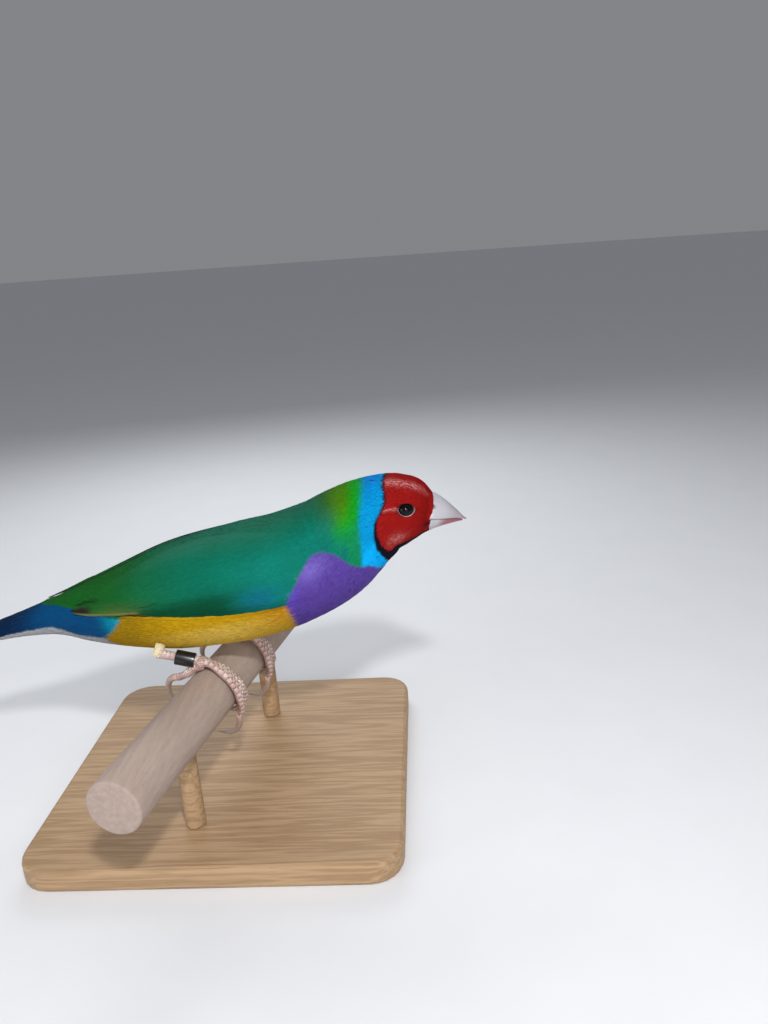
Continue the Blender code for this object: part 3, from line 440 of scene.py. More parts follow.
class Paint:
    """One material: its shader's steady values by name, and the nodes behind its varying ones."""

    def __init__(self, name, **steady):
        self.material = bpy.data.materials.new(name)
        self.material.use_nodes = True
        self.tree = self.material.node_tree
        self.shader = self.tree.nodes["Principled BSDF"]
        for socket, value in steady.items():
            self.shader.inputs[socket.replace("_", " ")].default_value = value

    def node(self, kind, settings=None, inputs=None, output=0):
        """Any node, from its type, its settings and the values or links of its sockets."""
        node = self.tree.nodes.new("ShaderNode" + kind)
        for name, value in (settings or {}).items():
            if name == "stops":
                for number, (place, colour) in enumerate(value):
                    stops = node.color_ramp.elements
                    stop = stops[number] if number < len(stops) else stops.new(place)
                    stop.position = place
                    stop.color = (*colour, 1.0)
            else:
                setattr(node, name, value)
        for socket, value in (inputs or {}).items():
            if isinstance(value, Wire):
                self.tree.links.new(value.socket, node.inputs[socket])
            else:
                node.inputs[socket].default_value = value
        return Wire(self, node.outputs[output])

    def math(self, operation, *values):
        return self.node("Math", {"operation": operation}, dict(enumerate(values)))

    def smooth(self, value, low, high, start=0.0, end=1.0):
        """A smooth step from start to end as the value goes from low to high."""
        inputs = {"Value": value, "From Min": low, "From Max": high, "To Min": start, "To Max": end}
        return self.node("MapRange", {"interpolation_type": "SMOOTHSTEP"}, inputs)

    def place(self, turn=0.0, scale=(1.0, 1.0, 1.0)):
        """Object coordinates in millimetres, turned about the upright axis and stretched."""
        spot = self.node("TexCoord", output=3)
        settings = {"vector_type": "POINT"}
        size = tuple(1000.0 * value for value in scale)
        return self.node("Mapping", settings, {"Vector": spot, "Rotation": (0.0, 0.0, turn), "Scale": size})

    def noise(self, vector, scale, detail=3.0, roughness=0.55):
        inputs = {"Vector": vector, "Scale": scale, "Detail": detail, "Roughness": roughness}
        return self.node("TexNoise", None, inputs)

    def colour_mix(self, share, first, second, blend_type="MIX"):
        settings = {"data_type": "RGBA", "blend_type": blend_type, "clamp_factor": True}
        return self.node("Mix", settings, {0: share, 6: first, 7: second}, output=2)

    def tinted(self, value, colour):
        """A colour made darker or lighter by a number near 1."""
        grey = self.node("CombineColor", None, {"Red": value, "Green": value, "Blue": value})
        return self.colour_mix(1.0, colour, grey, "MULTIPLY")

    def tint(self):
        return self.node("VertexColor", {"layer_name": "Tint"})

    def bump(self, height, depth, strength=1.0, under=None):
        """A Bump node for a height from 0 to 1 that stands for a depth in millimetres."""
        inputs = {"Height": height, "Distance": depth * MM, "Strength": strength}
        if under is not None:
            inputs["Normal"] = under
        return self.node("Bump", None, inputs)

    def feed(self, **sockets):
        for socket, wire in sockets.items():
            self.tree.links.new(wire.socket, self.shader.inputs[socket.replace("_", " ")])
        return self


def rgb(colour):
    return (*[float(value) for value in colour], 1.0)


def plumage_paint(name, roughness, barb_count, barb_depth, gloss):
    """Feather: its own tint, finely barbed from its shaft outwards, with a soft mottle."""
    paint = Paint(name, Specular_IOR_Level=gloss)
    vane = paint.node("UVMap", {"uv_map": "Vane"})
    along = paint.node("SeparateXYZ", None, {"Vector": vane}, output=0)
    across = paint.node("SeparateXYZ", None, {"Vector": vane}, output=1)
    away = paint.math("ABSOLUTE", across)
    slant = (along * 1.7 - away * 0.8) * barb_count
    barbs = paint.math("SINE", slant * (2 * math.pi)) * 0.5 + 0.5
    shaft = paint.smooth(away, 0.0, 0.09, 1.0, 0.0)
    spot = paint.place()
    mottle = paint.noise(spot, 0.9, 4.0)
    fleck = paint.noise(spot, 5.0, 2.0)
    shade = 0.80 + mottle * 0.26 + fleck * 0.16 + barbs * 0.06 - shaft * 0.08
    paint.feed(
        Base_Color=paint.tinted(shade, paint.tint()),
        Roughness=roughness - 0.06 + mottle * 0.12 + fleck * 0.06,
        Normal=paint.bump(barbs * 0.8 + shaft * 0.6, barb_depth, 0.7),
    )
    return paint


def skin_paint():
    """Down and skin under the coat: the coat's own markings, darkened as painted shade between the tufts,
    dull and grained.
    """
    paint = Paint("down_skin", Specular_IOR_Level=0.2)
    spot = paint.place()
    grain = paint.noise(spot, 6.0, 4.0)
    # The tint darkened to about half as painted shade in the gaps between the tufts
    paint.feed(
        Base_Color=paint.tinted(0.45 + grain * 0.4, paint.tint()),
        Roughness=0.75 + grain * 0.15,
        Normal=paint.bump(grain, 0.15),
    )
    return paint


def bill_paint():
    """Horn of the bill: faint growth lines, a waxy gloss and small scuffs."""
    paint = Paint("bill_horn", Specular_IOR_Level=0.5, Subsurface_Weight=0.12, Subsurface_Scale=0.002)
    paint.shader.inputs["Subsurface Radius"].default_value = (1.0, 0.45, 0.3)
    spot = paint.place()
    cloud = paint.noise(spot, 0.7, 4.0)
    fine = paint.noise(paint.place(scale=(0.6, 3.0, 3.0)), 2.2, 3.0)
    paint.feed(
        Base_Color=paint.tinted(0.90 + cloud * 0.14 + fine * 0.06, paint.tint()),
        Roughness=0.30 + cloud * 0.14 + fine * 0.08,
        Normal=paint.bump(fine, 0.035),
    )
    return paint


def eye_paint():
    """A wet dark eye: nearly black, with a warm brown iris that only its rim lets through."""
    paint = Paint("eye_wet", Specular_IOR_Level=0.2)
    mottle = paint.noise(paint.place(), 4.0, 3.0)
    paint.feed(
        Base_Color=paint.tinted(0.75 + mottle * 0.5, paint.tint()),
        Roughness=0.03 + mottle * 0.02,
    )
    return paint


def lid_paint():
    """Bare skin of the lids: its own tint, finely beaded and slightly moist."""
    paint = Paint("lid_skin", Specular_IOR_Level=0.2, Subsurface_Weight=0.1, Subsurface_Scale=0.001)
    bead = paint.node("TexVoronoi", {"feature": "F1"}, {"Vector": paint.place(), "Scale": 3.6})
    cloud = paint.noise(paint.place(), 2.0, 3.0)
    paint.feed(
        Base_Color=paint.tinted(0.92 - bead * 0.22 + cloud * 0.16, paint.tint()),
        Roughness=0.38 + cloud * 0.15,
        Normal=paint.bump(1.0 - bead, 0.08),
    )
    return paint


def leg_paint():
    """Scaly flesh-pink skin: glossy scales with paler rims and darker creases."""
    paint = Paint("scaly_skin", Specular_IOR_Level=0.8, Subsurface_Weight=0.12, Subsurface_Scale=0.001)
    paint.shader.inputs["Subsurface Radius"].default_value = (1.0, 0.4, 0.25)
    spot = paint.place()
    cell = paint.node("TexVoronoi", {"feature": "DISTANCE_TO_EDGE"}, {"Vector": spot, "Scale": 1.9})
    rim = paint.smooth(cell, 0.0, 0.16)
    cloud = paint.noise(spot, 0.9, 3.0)
    paint.feed(
        Base_Color=paint.tinted(0.66 + rim * 0.30 + cloud * 0.16, paint.tint()),
        Roughness=0.34 - rim * 0.14 + cloud * 0.1,
        Normal=paint.bump(rim + cloud * 0.3, 0.16),
    )
    return paint


def claw_paint():
    """Claw horn: smooth, a little clear, streaked along its length."""
    paint = Paint("claw_horn", Specular_IOR_Level=0.5, Subsurface_Weight=0.1, Subsurface_Scale=0.001)
    streak = paint.noise(paint.place(), 2.4, 4.0)
    paint.feed(
        Base_Color=paint.tinted(0.82 + streak * 0.34, paint.tint()),
        Roughness=0.26 + streak * 0.16,
        Normal=paint.bump(streak, 0.03),
    )
    return paint


def ring_paint():
    """Black ring: glossy enamel, rubbed paler in patches."""
    paint = Paint("ring_enamel", Specular_IOR_Level=0.5, Coat_Weight=0.3, Coat_Roughness=0.15)
    rub = paint.noise(paint.place(), 3.0, 4.0)
    worn = paint.smooth(rub, 0.60, 0.74)
    colour = paint.colour_mix(worn * 0.5, rgb(tone(14, 14, 17)), rgb(tone(70, 72, 78)))
    paint.feed(
        Base_Color=colour,
        Roughness=0.26 + rub * 0.14,
        Normal=paint.bump(rub, 0.02),
    )
    return paint


PERCH_TURN = math.radians(12.0)


def perch_paint():
    """Smooth taupe wood: long faint grain along the perch, small pores and soft stains."""
    paint = Paint("perch_wood", Specular_IOR_Level=0.3)
    grain = paint.noise(paint.place(PERCH_TURN, (1.0, 0.06, 1.0)), 0.9, 5.0, 0.6)
    pores = paint.noise(paint.place(PERCH_TURN, (1.0, 0.16, 1.0)), 3.4, 3.0, 0.7)
    stain = paint.noise(paint.place(PERCH_TURN, (1.0, 0.5, 1.0)), 0.07, 3.0)
    colour = paint.colour_mix(grain, rgb(tone(146, 126, 114)), rgb(tone(182, 164, 154)))
    colour = paint.colour_mix(paint.smooth(pores, 0.58, 0.72) * 0.35, colour, rgb(tone(108, 90, 76)))
    colour = paint.colour_mix(paint.smooth(stain, 0.45, 0.75) * 0.30, colour, rgb(tone(122, 104, 90)))
    paint.feed(
        Base_Color=colour,
        Roughness=0.62 + grain * 0.16,
        Normal=paint.bump(grain * 0.7 + pores * 0.5, 0.10),
    )
    return paint


def stand_paint():
    """Pale satin wood of the stand: long grain with slow rings and fine pores."""
    paint = Paint("stand_wood", Specular_IOR_Level=0.35)
    waves = paint.noise(paint.place(scale=(0.05, 1.0, 1.0)), 0.22, 4.0)
    rings = paint.math("SINE", waves * 46.0) * 0.5 + 0.5
    pores = paint.noise(paint.place(scale=(0.05, 1.0, 1.0)), 3.0, 3.0, 0.65)
    colour = paint.colour_mix(rings * 0.8, rgb(tone(176, 146, 112)), rgb(tone(150, 120, 88)))
    colour = paint.colour_mix(paint.smooth(pores, 0.56, 0.72) * 0.4, colour, rgb(tone(118, 90, 64)))
    paint.feed(
        Base_Color=colour,
        Roughness=0.42 + pores * 0.2,
        Normal=paint.bump(rings * 0.3 + pores * 0.7, 0.06),
    )
    return paint


SKIN = skin_paint()
COAT = plumage_paint("body_feather", 0.60, 5.0, 0.03, 0.06)
QUILL = plumage_paint("flight_feather", 0.50, 26.0, 0.05, 0.10)
HORN = bill_paint()
EYE = eye_paint()
LID = lid_paint()
LEG = leg_paint()
CLAW = claw_paint()
RING = ring_paint()
PERCH = perch_paint()
STAND = stand_paint()

# The folded wings, as in the solids: side, tip, and the angles of the lower and upper edge along them
WING_START = 26.0
WINGS = {
    "wing_right": (-1, -35.5, (108, 93, 76), (48, 26, 56)),
    "wing_left": (1, -45.5, (108, 88, 30), (48, 26, 10)),
}
WING_TOP = 2.15
WING_FADES = ((0.94, 0.62), (1.04, 0.40))
EYE_SECTION = 50.4
EYE_ANGLE = 85.5
EYE_RADIUS = 1.95
EYE_PROUD = 0.6
EYE_SQUINT = 0.84
# Half length and half height of the eye's bare skin, on which no feather grows
EYE_GAP = (2.06, 1.52)


def wing_place(wing, along, across):
    """Section and angle of a spot on the folded wing, from its bend to its tip and up from its edge."""
    side, tip, lower_edge, upper_edge = wing
    lower = smooth_value((0.0, 0.5, 1.0), lower_edge, along)
    upper = smooth_value((0.0, 0.5, 1.0), upper_edge, along)
    return WING_START + along * (tip - WING_START), np.radians(lower + (upper - lower) * across) * side


def under_wing(along, angle):
    """How far a place on the body is along and up whichever wing lies over its side of the back."""
    result = []
    turn = np.degrees((np.asarray(angle) + math.pi) % (2 * math.pi) - math.pi)
    for side, tip, lower_edge, upper_edge in WINGS.values():
        share = (WING_START - along) / (WING_START - tip)
        inside = np.clip(share, 0.0, 1.0)
        lower = smooth_value((0.0, 0.5, 1.0), lower_edge, inside)
        upper = smooth_value((0.0, 0.5, 1.0), upper_edge, inside)
        result.append((share, (turn * side - lower) / (upper - lower)))
    return result


def wing_height(along, angle):
    """Height of the wing's top over the body: its full depth inside its outline, and 0 outside."""
    height = 0.0
    for (share, across), (gone, full) in zip(under_wing(along, angle), WING_FADES):
        ends = blend(-0.03, 0.12, share) * blend(gone, full, share)
        edges = blend(-0.08, 0.16, across) * blend(1.22, 0.64, across)
        fall = 1.0 - 0.34 * blend(0.25, 0.55, share) * blend(0.90, 0.15, across)
        height = np.maximum(height, ends * edges * fall)
    return height * WING_TOP


def coat_end(across):
    """How far back along the wing the coat's soft feathers cover it: further above than below."""
    return 0.46 + 0.28 * blend(0.10, 0.62, across) + 0.03 * np.sin(across * 21.0)


def eye_place(side):
    """Centre of an eye, the way it looks, and the head's height and length square to that."""
    spot, _, _, look = (value[0] for value in on_body([EYE_SECTION], [side * math.radians(EYE_ANGLE)]))
    _, _, up, _, _, _, _ = section_frame(EYE_SECTION)
    height = up - look * np.dot(up, look)
    height /= np.linalg.norm(height)
    ahead = np.cross(height, look)
    ahead *= np.sign(ahead[0])
    return spot + look * (EYE_PROUD - EYE_RADIUS), look, height, ahead


def coat_depth(along):
    """Depth of the coat over the skin: thin on the face and the tail's root, deepest on the body."""
    return 0.45 + 0.45 * blend(52.0, 30.0, along) - 0.4 * blend(-30.0, -55.0, along)


def on_thigh(side):
    """The thigh's surface as a tapering tube: lengths along it run down from 0 at the body, below 0."""
    heel = np.array(HEELS["right" if side < 0 else "left"])
    root = np.array([heel[0] + 3.0, heel[1] * 0.70, 53.0])
    end = heel + np.array([-0.4, 0.1, 1.0])
    length = np.linalg.norm(end - root)
    axis = (end - root) / length
    ahead = np.cross(axis, (0.0, 1.0, 0.0))
    ahead /= np.linalg.norm(ahead)
    outer = np.cross(ahead, axis)

    def place(along, angle, out=0.0):
        along, angle, out = np.broadcast_arrays(np.asarray(along, float), np.asarray(angle, float), out)
        share = np.clip(-along / length, 0.0, 1.0)
        radius = (0.6 * (1 - share) ** 0.7 + 1.0 + out)[..., None]
        normal = ahead * np.cos(angle)[..., None] + outer * np.sin(angle)[..., None]
        around = (outer * np.cos(angle)[..., None] - ahead * np.sin(angle)[..., None]) * radius
        return root - axis * along[..., None] + normal * radius, normal * 0 - axis, around, normal

    return place, length


def skin_form():
    """One closed skin: the body's surface sunk by the coat's depth, and the two thighs' joined in it."""
    along = FACE - 0.2 - (FACE - 0.2 - COVERTS_END) * np.linspace(0, 1, 230)[:, None]
    angle = np.linspace(-math.pi, math.pi, 144, endpoint=False)[None, :]
    along, angle = np.broadcast_arrays(along, angle)
    points = on_body(along, angle, -coat_depth(along))[0]
    forms = [outward(loft(points))]
    tints = [markings(along, angle).reshape(-1, 3)]
    tints.append(np.stack([tints[0][0], tints[0][-1]]))
    for side in (-1, 1):
        place, length = on_thigh(side)
        down = -length * np.linspace(0, 1, 24)[:, None]
        down, turn = np.broadcast_arrays(down, np.linspace(0, 2 * math.pi, 32, endpoint=False)[None, :])
        form = loft(place(down, turn, -0.55)[0])
        forms.append(outward(form))
        tints.append(np.broadcast_to(GOLD, (len(form[0]), 3)))
    return join(forms), np.concatenate(tints)


TUFT_STATIONS = np.array([0.0, 0.34, 0.76, 1.0])
TUFT_WIDTHS = np.array([0.0, 1.0, 0.74, 0.0])
TUFT_SIDES = np.array([1.0, 0.0, -1.0, 0.0])
TUFT_RISES = np.array([0.0, 1.0, 0.0, -0.6])


def tuft_faces():
    """Faces of one tuft: a fan from its root, one ring of sides and a fan to its tip."""
    column = np.arange(4)
    after = (column + 1) % 4
    root = np.stack([1 + after, 1 + column, np.zeros(4, int)], axis=-1)
    tip = np.stack([5 + column, 5 + after, np.full(4, 9)], axis=-1)
    return 1 + grid_faces(2, 4, wrap=True), np.concatenate([root, tip])


def tufts(surface, along, angle, length, width, lean, lifts, tint, home):
    """Many small feathers as one form: each runs tailward along a surface from its root to its tip.

    The path's section falls and its angle turns by the lean, so that it is as long as asked. It
    starts at a point, passes through two flat diamonds that stand square to it and ends at a point,
    at a height that goes from the root's to the tip's. Returns the form, its tints, the vane map,
    and the bake map, in which each tuft is a small patch at its root's place on the unwrapped skin.
    """
    count = len(along)
    _, first, second, _ = surface(along, angle)
    long_step = (np.cos(lean) * length / np.linalg.norm(first, axis=-1))[:, None]
    turn_step = (np.sin(lean) * length / np.maximum(np.linalg.norm(second, axis=-1), 0.5))[:, None]
    path_along = along[:, None] - long_step * TUFT_STATIONS
    path_angle = angle[:, None] + turn_step * TUFT_STATIONS
    height = lifts[0][:, None] + (lifts[1] - lifts[0])[:, None] * TUFT_STATIONS ** 0.42
    if surface is on_body:
        cover = wing_height(path_along, path_angle)
        height = np.where(cover > 0.02, np.maximum(height, cover + 0.12 * TUFT_STATIONS), height)
    points, first, second, normal = surface(path_along, path_angle, height)
    heading = -first * long_step[..., None] + second * turn_step[..., None]
    square = np.cross(normal, heading)
    square /= np.linalg.norm(square, axis=-1, keepdims=True)
    half = (width[:, None] / 2 * TUFT_WIDTHS)[..., None, None]
    thick = (0.02 + 0.055 * width[:, None] * TUFT_WIDTHS)[..., None, None]
    rings = points[:, :, None] + square[:, :, None] * half * TUFT_SIDES[:, None]
    rings = rings + normal[:, :, None] * thick * TUFT_RISES[:, None]
    corners = np.concatenate([points[:, :1], rings[:, 1:3].reshape(count, 8, 3), points[:, 3:]], axis=1)
    station = np.concatenate([[0.0], np.repeat(TUFT_STATIONS[1:3], 4), [1.0]])
    side = np.concatenate([[0.0], np.tile(TUFT_SIDES, 2), [0.0]])
    shade = 0.84 + 0.18 * station
    tint = np.broadcast_to(tint[:, None] if tint.ndim == 2 else tint, (count, 4, 3))
    tints = np.concatenate([tint[:, :1], np.repeat(tint[:, 1:3], 4, axis=1), tint[:, 3:]], axis=1)
    tints = tints * shade[None, :, None]
    vane = np.broadcast_to(np.stack([station, side], axis=-1), (count, 10, 2))
    patch = np.stack([side * 0.0015, (station - 0.5) * 0.003], axis=-1)
    bake = home[:, None] + patch[None]
    faces = [tile_faces(block, count, 10) for block in tuft_faces()]
    flat = (corners.reshape(-1, 3), faces)
    return flat, tints.reshape(-1, 3), vane.reshape(-1, 2), bake.reshape(-1, 2)


def skin_home(along, angle):
    """Place on the skin's own unwrap: its angle across and its section up, on the left nine tenths."""
    across = 0.02 + 0.86 * (((angle + math.pi) / (2 * math.pi)) % 1.0)
    return np.stack([across, 0.02 + 0.96 * (along + 66.0) / 124.0], axis=-1)


def spread(count, start):
    """Evenly scattered pairs of numbers from 0 to 1, by adding two fixed steps that never repeat."""
    number = np.arange(count) + start
    shake = RANDOM.random((2, count)) * 0.9 / math.sqrt(count)
    return (number * 0.7548776662 + shake[0]) % 1.0, (number * 0.5698402910 + shake[1]) % 1.0


def off_eyes(along, angle, length):
    """Whether a tuft's root, middle and end all clear both eyes' bare skin."""
    clear = np.ones(len(along), bool)
    for side in (-1, 1):
        centre, look, height, ahead = eye_place(side)
        for share in (0.0, 0.5, 0.9):
            offset = on_body(along - length * share, angle)[0] - centre
            reach = (offset @ ahead / EYE_GAP[0]) ** 2 + (offset @ height / EYE_GAP[1]) ** 2
            clear &= ~((reach < 1.0) & (offset @ look > 0))
    return clear


def coat_patch(front, back, count, length, width, start):
    """Tufts scattered over the body between two sections, as many in each part as its area asks.

    None grows in an eye, or on a wing behind the coat's ragged end. Lengths, widths, leans
    and lights vary by seeded draws, and the colour is the marking's at the tuft's visible half.
    """
    first, second = spread(count, start)
    knots = np.linspace(back, front, 60)
    _, _, _, _, above, below, half = section_frame(knots)
    area = np.cumsum(above + below + 2 * half)
    along = np.interp(first * area[-1], np.append(0.0, area[:-1]), knots)
    angle = (second * 2 - 1) * math.pi
    keep = off_eyes(along, angle, length)
    winged = np.zeros(len(along), bool)
    ragged = 0.16 * RANDOM.random(len(along))
    for share, across in under_wing(along, angle):
        inside = (share > 0.0) & (across > -0.02) & (across < 1.02)
        keep &= ~(inside & (share > coat_end(across) + ragged) & (share < 0.97))
        winged |= inside & (share < 0.95)
    along, angle, winged = along[keep], angle[keep], winged[keep]
    total = len(along)
    draw = RANDOM.random((6, total))
    size = length * (0.8 + 0.4 * draw[0])
    broad = width * (0.8 + 0.4 * draw[1])
    turn = np.degrees(np.abs(angle))
    lean = (draw[2] - 0.5) * 0.16 + (0.16 - 0.34 * blend(66, 88, turn)) * np.sign(angle) * winged
    near_face = blend(53.0, 56.0, along)
    size = size * (1 - 0.35 * near_face)
    depth = coat_depth(along)
    lifts = (-depth - 0.1, -0.05 + 0.09 * draw[3] ** 2 * (1 - 0.6 * near_face))
    shown = along[:, None] - size[:, None] * (0.18 * draw[5][:, None] + 0.85 * TUFT_STATIONS)
    aside = angle[:, None] + 0 * shown
    tint = markings(shown, aside)
    turn = np.degrees(np.abs(aside))
    violet = turn - smooth_value(*VIOLET_TOP, np.clip(shown, 15.0, 40.0))
    violet = np.minimum(violet, (shown - smooth_value(*VIOLET_END, turn)) * 4.0)
    winged = winged[:, None] * blend(2.6, 1.0, violet)
    tint = mix(tint, wing_tint("coat", 0 * shown, shown, aside), winged)
    # Painted highlight flecks: pale pink strokes on some red tufts where the mask's highlights are painted
    fleck = red_highlights_and_streak(shown, turn) * blend(1.5, 4.0, tint[..., 0] / (tint[..., 2] + 0.01))
    tint = mix(tint, HIGHLIGHT_FLECK, 0.75 * fleck * (draw[0] > 0.62)[:, None])
    mottle = blend(40.0, 46.0, along)
    light = 0.90 - 0.08 * mottle + (0.20 + 0.16 * mottle) * draw[4]
    warm = 1.0 + (draw[5][:, None] - 0.5) * np.array([0.08, 0.05, -0.08])
    tint = tint * (light[:, None] * warm)[:, None]
    return tufts(on_body, along, angle, size, broad, lean, lifts, tint, skin_home(along, angle))


# Patches of the coat: front and back section, how many tufts, their length and width, and the slot
PATCHES = (
    ("face", 56.9, 52.2, 7600, 1.05, 0.26, "mask_red"),
    ("mask", 52.2, 46.9, 8600, 1.20, 0.28, "mask_red"),
    ("collar", 46.9, 40.5, 8800, 1.40, 0.32, "collar_blue"),
    ("nape", 40.5, 33.5, 8600, 2.2, 0.40, "collar_blue"),
    ("breast", 33.5, 24.0, 9000, 3.2, 0.46, "body_gold"),
    ("belly_front", 24.0, 6.0, 10400, 3.8, 0.52, "body_gold"),
    ("belly_back", 6.0, -14.0, 11000, 3.9, 0.54, "body_gold"),
    ("vent", -14.0, -34.0, 9400, 3.6, 0.52, "rump_blue"),
    ("rump", -34.0, -57.6, 6000, 3.4, 0.54, "rump_blue"),
)
BILL_EDGE_TUFTS = 420
HEEL_TUFTS = 900


def bill_edge():
    """Short tufts round the face's rim that point forward over the bill's base."""
    count = BILL_EDGE_TUFTS
    draw = RANDOM.random((5, count))
    along = 55.0 + 0.9 * draw[0]
    angle = (np.arange(count) / count * 2 - 1) * math.pi
    turn = np.degrees(np.abs(angle))
    reach = 0.50 + 0.60 * draw[1] + 0.90 * blend(52.0, 12.0, turn) - 0.20 * blend(92.0, 140.0, turn)
    shown = along[:, None] + reach[:, None] * 0.7 * TUFT_STATIONS
    lifts = (np.full(count, -0.40), -0.06 + 0.08 * draw[4])
    # Slightly darkened as painted shade, to match the shaded face behind these forward tufts
    tint = 0.93 * markings(shown, angle[:, None] + 0 * shown)
    return tufts(on_body, along, angle, -reach, 0.24 + 0.1 * draw[2], (draw[3] - 0.5) * 0.5, lifts, tint,
                 skin_home(along, angle))


def heel_tufts(side, start):
    """Loose tufts at a thigh's end, gold darkened by painted shade above, and cream round the heel."""
    place, length = on_thigh(side)
    first, second = spread(HEEL_TUFTS, start)
    along = -length * (0.74 + 0.30 * first)
    angle = second * 2 * math.pi
    draw = RANDOM.random((4, HEEL_TUFTS))
    down = blend(0.62, 0.88, -along / length + 0.08 * draw[1])
    # The gold darkened as painted shade under the belly
    tint = mix(GOLD * 0.72, CREAM, down) * (0.9 + 0.2 * draw[0])[:, None]
    home = np.stack([0.90 + 0.03 * (side + 1) + 0.05 * second, 0.1 + 0.8 * first], axis=-1)
    lifts = (np.full(HEEL_TUFTS, -0.45), 0.30 * draw[1] - 0.05)
    lean = 0.35 * np.sin(angle) + (draw[2] - 0.5) * 0.5
    return tufts(place, along, angle, 0.9 + draw[2] * 0.7, 0.26 + draw[3] * 0.12, lean, lifts, tint, home)


def coat_piece(name, parts):
    """One piece of the coat, from its form, tints, vane map and bake map."""
    form, tints, vane, bake = parts
    piece("coat_" + name, form, COAT, (), tints, {"Vane": vane, "OFBake": bake}, False)


def make_coat():
    """The skin and the coat on it: the body's patches, the bill's edge and the two heels."""
    skin, tint = skin_form()
    flesh = ("head", "neck", "torso", "tail_coverts", "thigh_left", "thigh_right")
    piece("skin", skin, SKIN, flesh, tint)
    start = 0
    for name, front, back, count, length, width, slot in PATCHES:
        coat_piece(name, coat_patch(front, back, count, length, width, start))
        start += count
    coat_piece("bill_edge", bill_edge())
    for side, name in ((-1, "right"), (1, "left")):
        coat_piece("thigh_" + name, heel_tufts(side, start))
        start += HEEL_TUFTS


# Tiers of a wing's feathers: how many, root and tip (shares along and up the wing), width, tip lift,
# and how much the last differs from the first in root height, tip length, tip height, width and lift
FEATHERS = (
    ("primary", 9, (0.34, 0.12), (1.00, 0.50), 3.3, 0.86, (0.30, -0.30, 0.30, 0.0, 0.80)),
    ("primary_covert", 5, (0.20, 0.08), (0.52, 0.10), 2.8, 1.20, (0.12, -0.04, 0.12, 0.0, 0.16)),
    ("secondary", 8, (0.34, 0.38), (0.76, 0.42), 4.4, 1.35, (0.40, -0.12, 0.34, 0.0, 0.48)),
    ("tertial", 3, (0.30, 0.68), (0.82, 0.76), 6.2, 1.80, (0.22, -0.18, 0.16, -0.8, 0.32)),
    ("greater_covert", 10, (0.20, 0.13), (0.44, 0.14), 4.2, 1.66, (0.72, -0.04, 0.72, 0.0, 0.24)),
    ("median_covert", 10, (0.09, 0.13), (0.28, 0.15), 4.0, 1.84, (0.72, 0.0, 0.72, 0.0, 0.10)),
    ("lesser_covert", 11, (0.045, 0.08), (0.185, 0.11), 3.4, 1.98, (0.76, 0.0, 0.76, 0.0, 0.06)),
    ("shoulder_covert", 12, (0.01, 0.06), (0.115, 0.08), 3.0, 2.06, (0.80, 0.0, 0.80, 0.0, 0.04)),
)


def vane_form(root, tip, width, root_lift, tip_lift, tilt, rows=16, columns=9, sunk=False, thick=0.20):
    """One flat feather along the body: widening, then rounded at its tip, arched and ridged by its shaft.

    Its width runs square to its path, written as a mix of the surface's two tangents. A wing's
    feather is sunk under the coat that lies over the wing's front half.
    """
    share = np.linspace(0.0, 1.0, rows) ** 0.85
    shape = (0.55 + 0.45 * np.sin(np.minimum(share / 0.72, 1.0) * math.pi / 2))
    shape = shape * np.sqrt(1.0 - 0.985 * np.clip((share - 0.74) / 0.26, 0.0, 1.0) ** 2.2)
    along = root[0] + (tip[0] - root[0]) * share
    angle = root[1] + (tip[1] - root[1]) * share
    _, first, second, normal = on_body(along, angle)
    heading = first * (tip[0] - root[0]) + second * (tip[1] - root[1])
    square = np.cross(normal, heading)
    square /= np.linalg.norm(square, axis=-1, keepdims=True)
    stretch = [np.sum(a * b, -1) for a, b in ((first, first), (first, second), (second, second))]
    reach = [np.sum(square * value, -1) for value in (first, second)]
    scale = stretch[0] * stretch[2] - stretch[1] ** 2
    step_along = (reach[0] * stretch[2] - reach[1] * stretch[1]) / scale
    step_angle = (reach[1] * stretch[0] - reach[0] * stretch[1]) / scale
    across = np.linspace(-1.0, 1.0, columns)
    fray = 1.0 + 0.035 * np.sin(share * 31.0 + root[1] * 40.0)[:, None] * np.abs(across) ** 3
    offset = (width / 2 * shape)[:, None] * across[None, :] * fray
    place_along = along[:, None] + step_along[:, None] * offset
    place_angle = angle[:, None] + step_angle[:, None] * offset
    lift = (root_lift + (tip_lift - root_lift) * share ** 0.8)[:, None] + tilt * across[None, :]
    lift = lift - 0.16 * across[None, :] ** 2 + 0.05 * np.exp(-(across[None, :] / 0.12) ** 2)
    if sunk:
        share_along, share_up = under_wing(place_along, place_angle)[0 if root[1] < 0 else 1]
        end = coat_end(share_up)
        roof = wing_height(place_along, place_angle) - 0.16 + 3.0 * blend(end + 0.08, end + 0.22, share_along)
        tip_end = WINGS["wing_right" if root[1] < 0 else "wing_left"][1]
        lift = np.minimum(lift * (1.0 - 0.62 * blend(tip_end + 23.0, tip_end + 2.0, place_along)), roof)
        lift = np.maximum(lift, 0.2 - 0.22 * blend(tip_end + 7.0, tip_end + 1.0, place_along))
    half = thick / 2 * (1.0 - 0.75 * np.abs(across) ** 3) * np.ones((rows, 1))
    outer = on_body(place_along, place_angle, lift + half)[0]
    inner = on_body(place_along, place_angle, lift - half)[0]
    places = [np.tile(value.ravel(), 2) for value in (place_along, place_angle)]
    span = np.linalg.norm(outer[-1, columns // 2] - outer[0, columns // 2])
    grid = np.broadcast_to(share[:, None] * span / 20.0, (rows, columns))
    breadth = np.broadcast_to(across, (rows, columns))
    vane = np.tile(np.stack([grid.ravel(), breadth.ravel()], axis=-1), (2, 1))
    return plate(outer, inner), places, vane


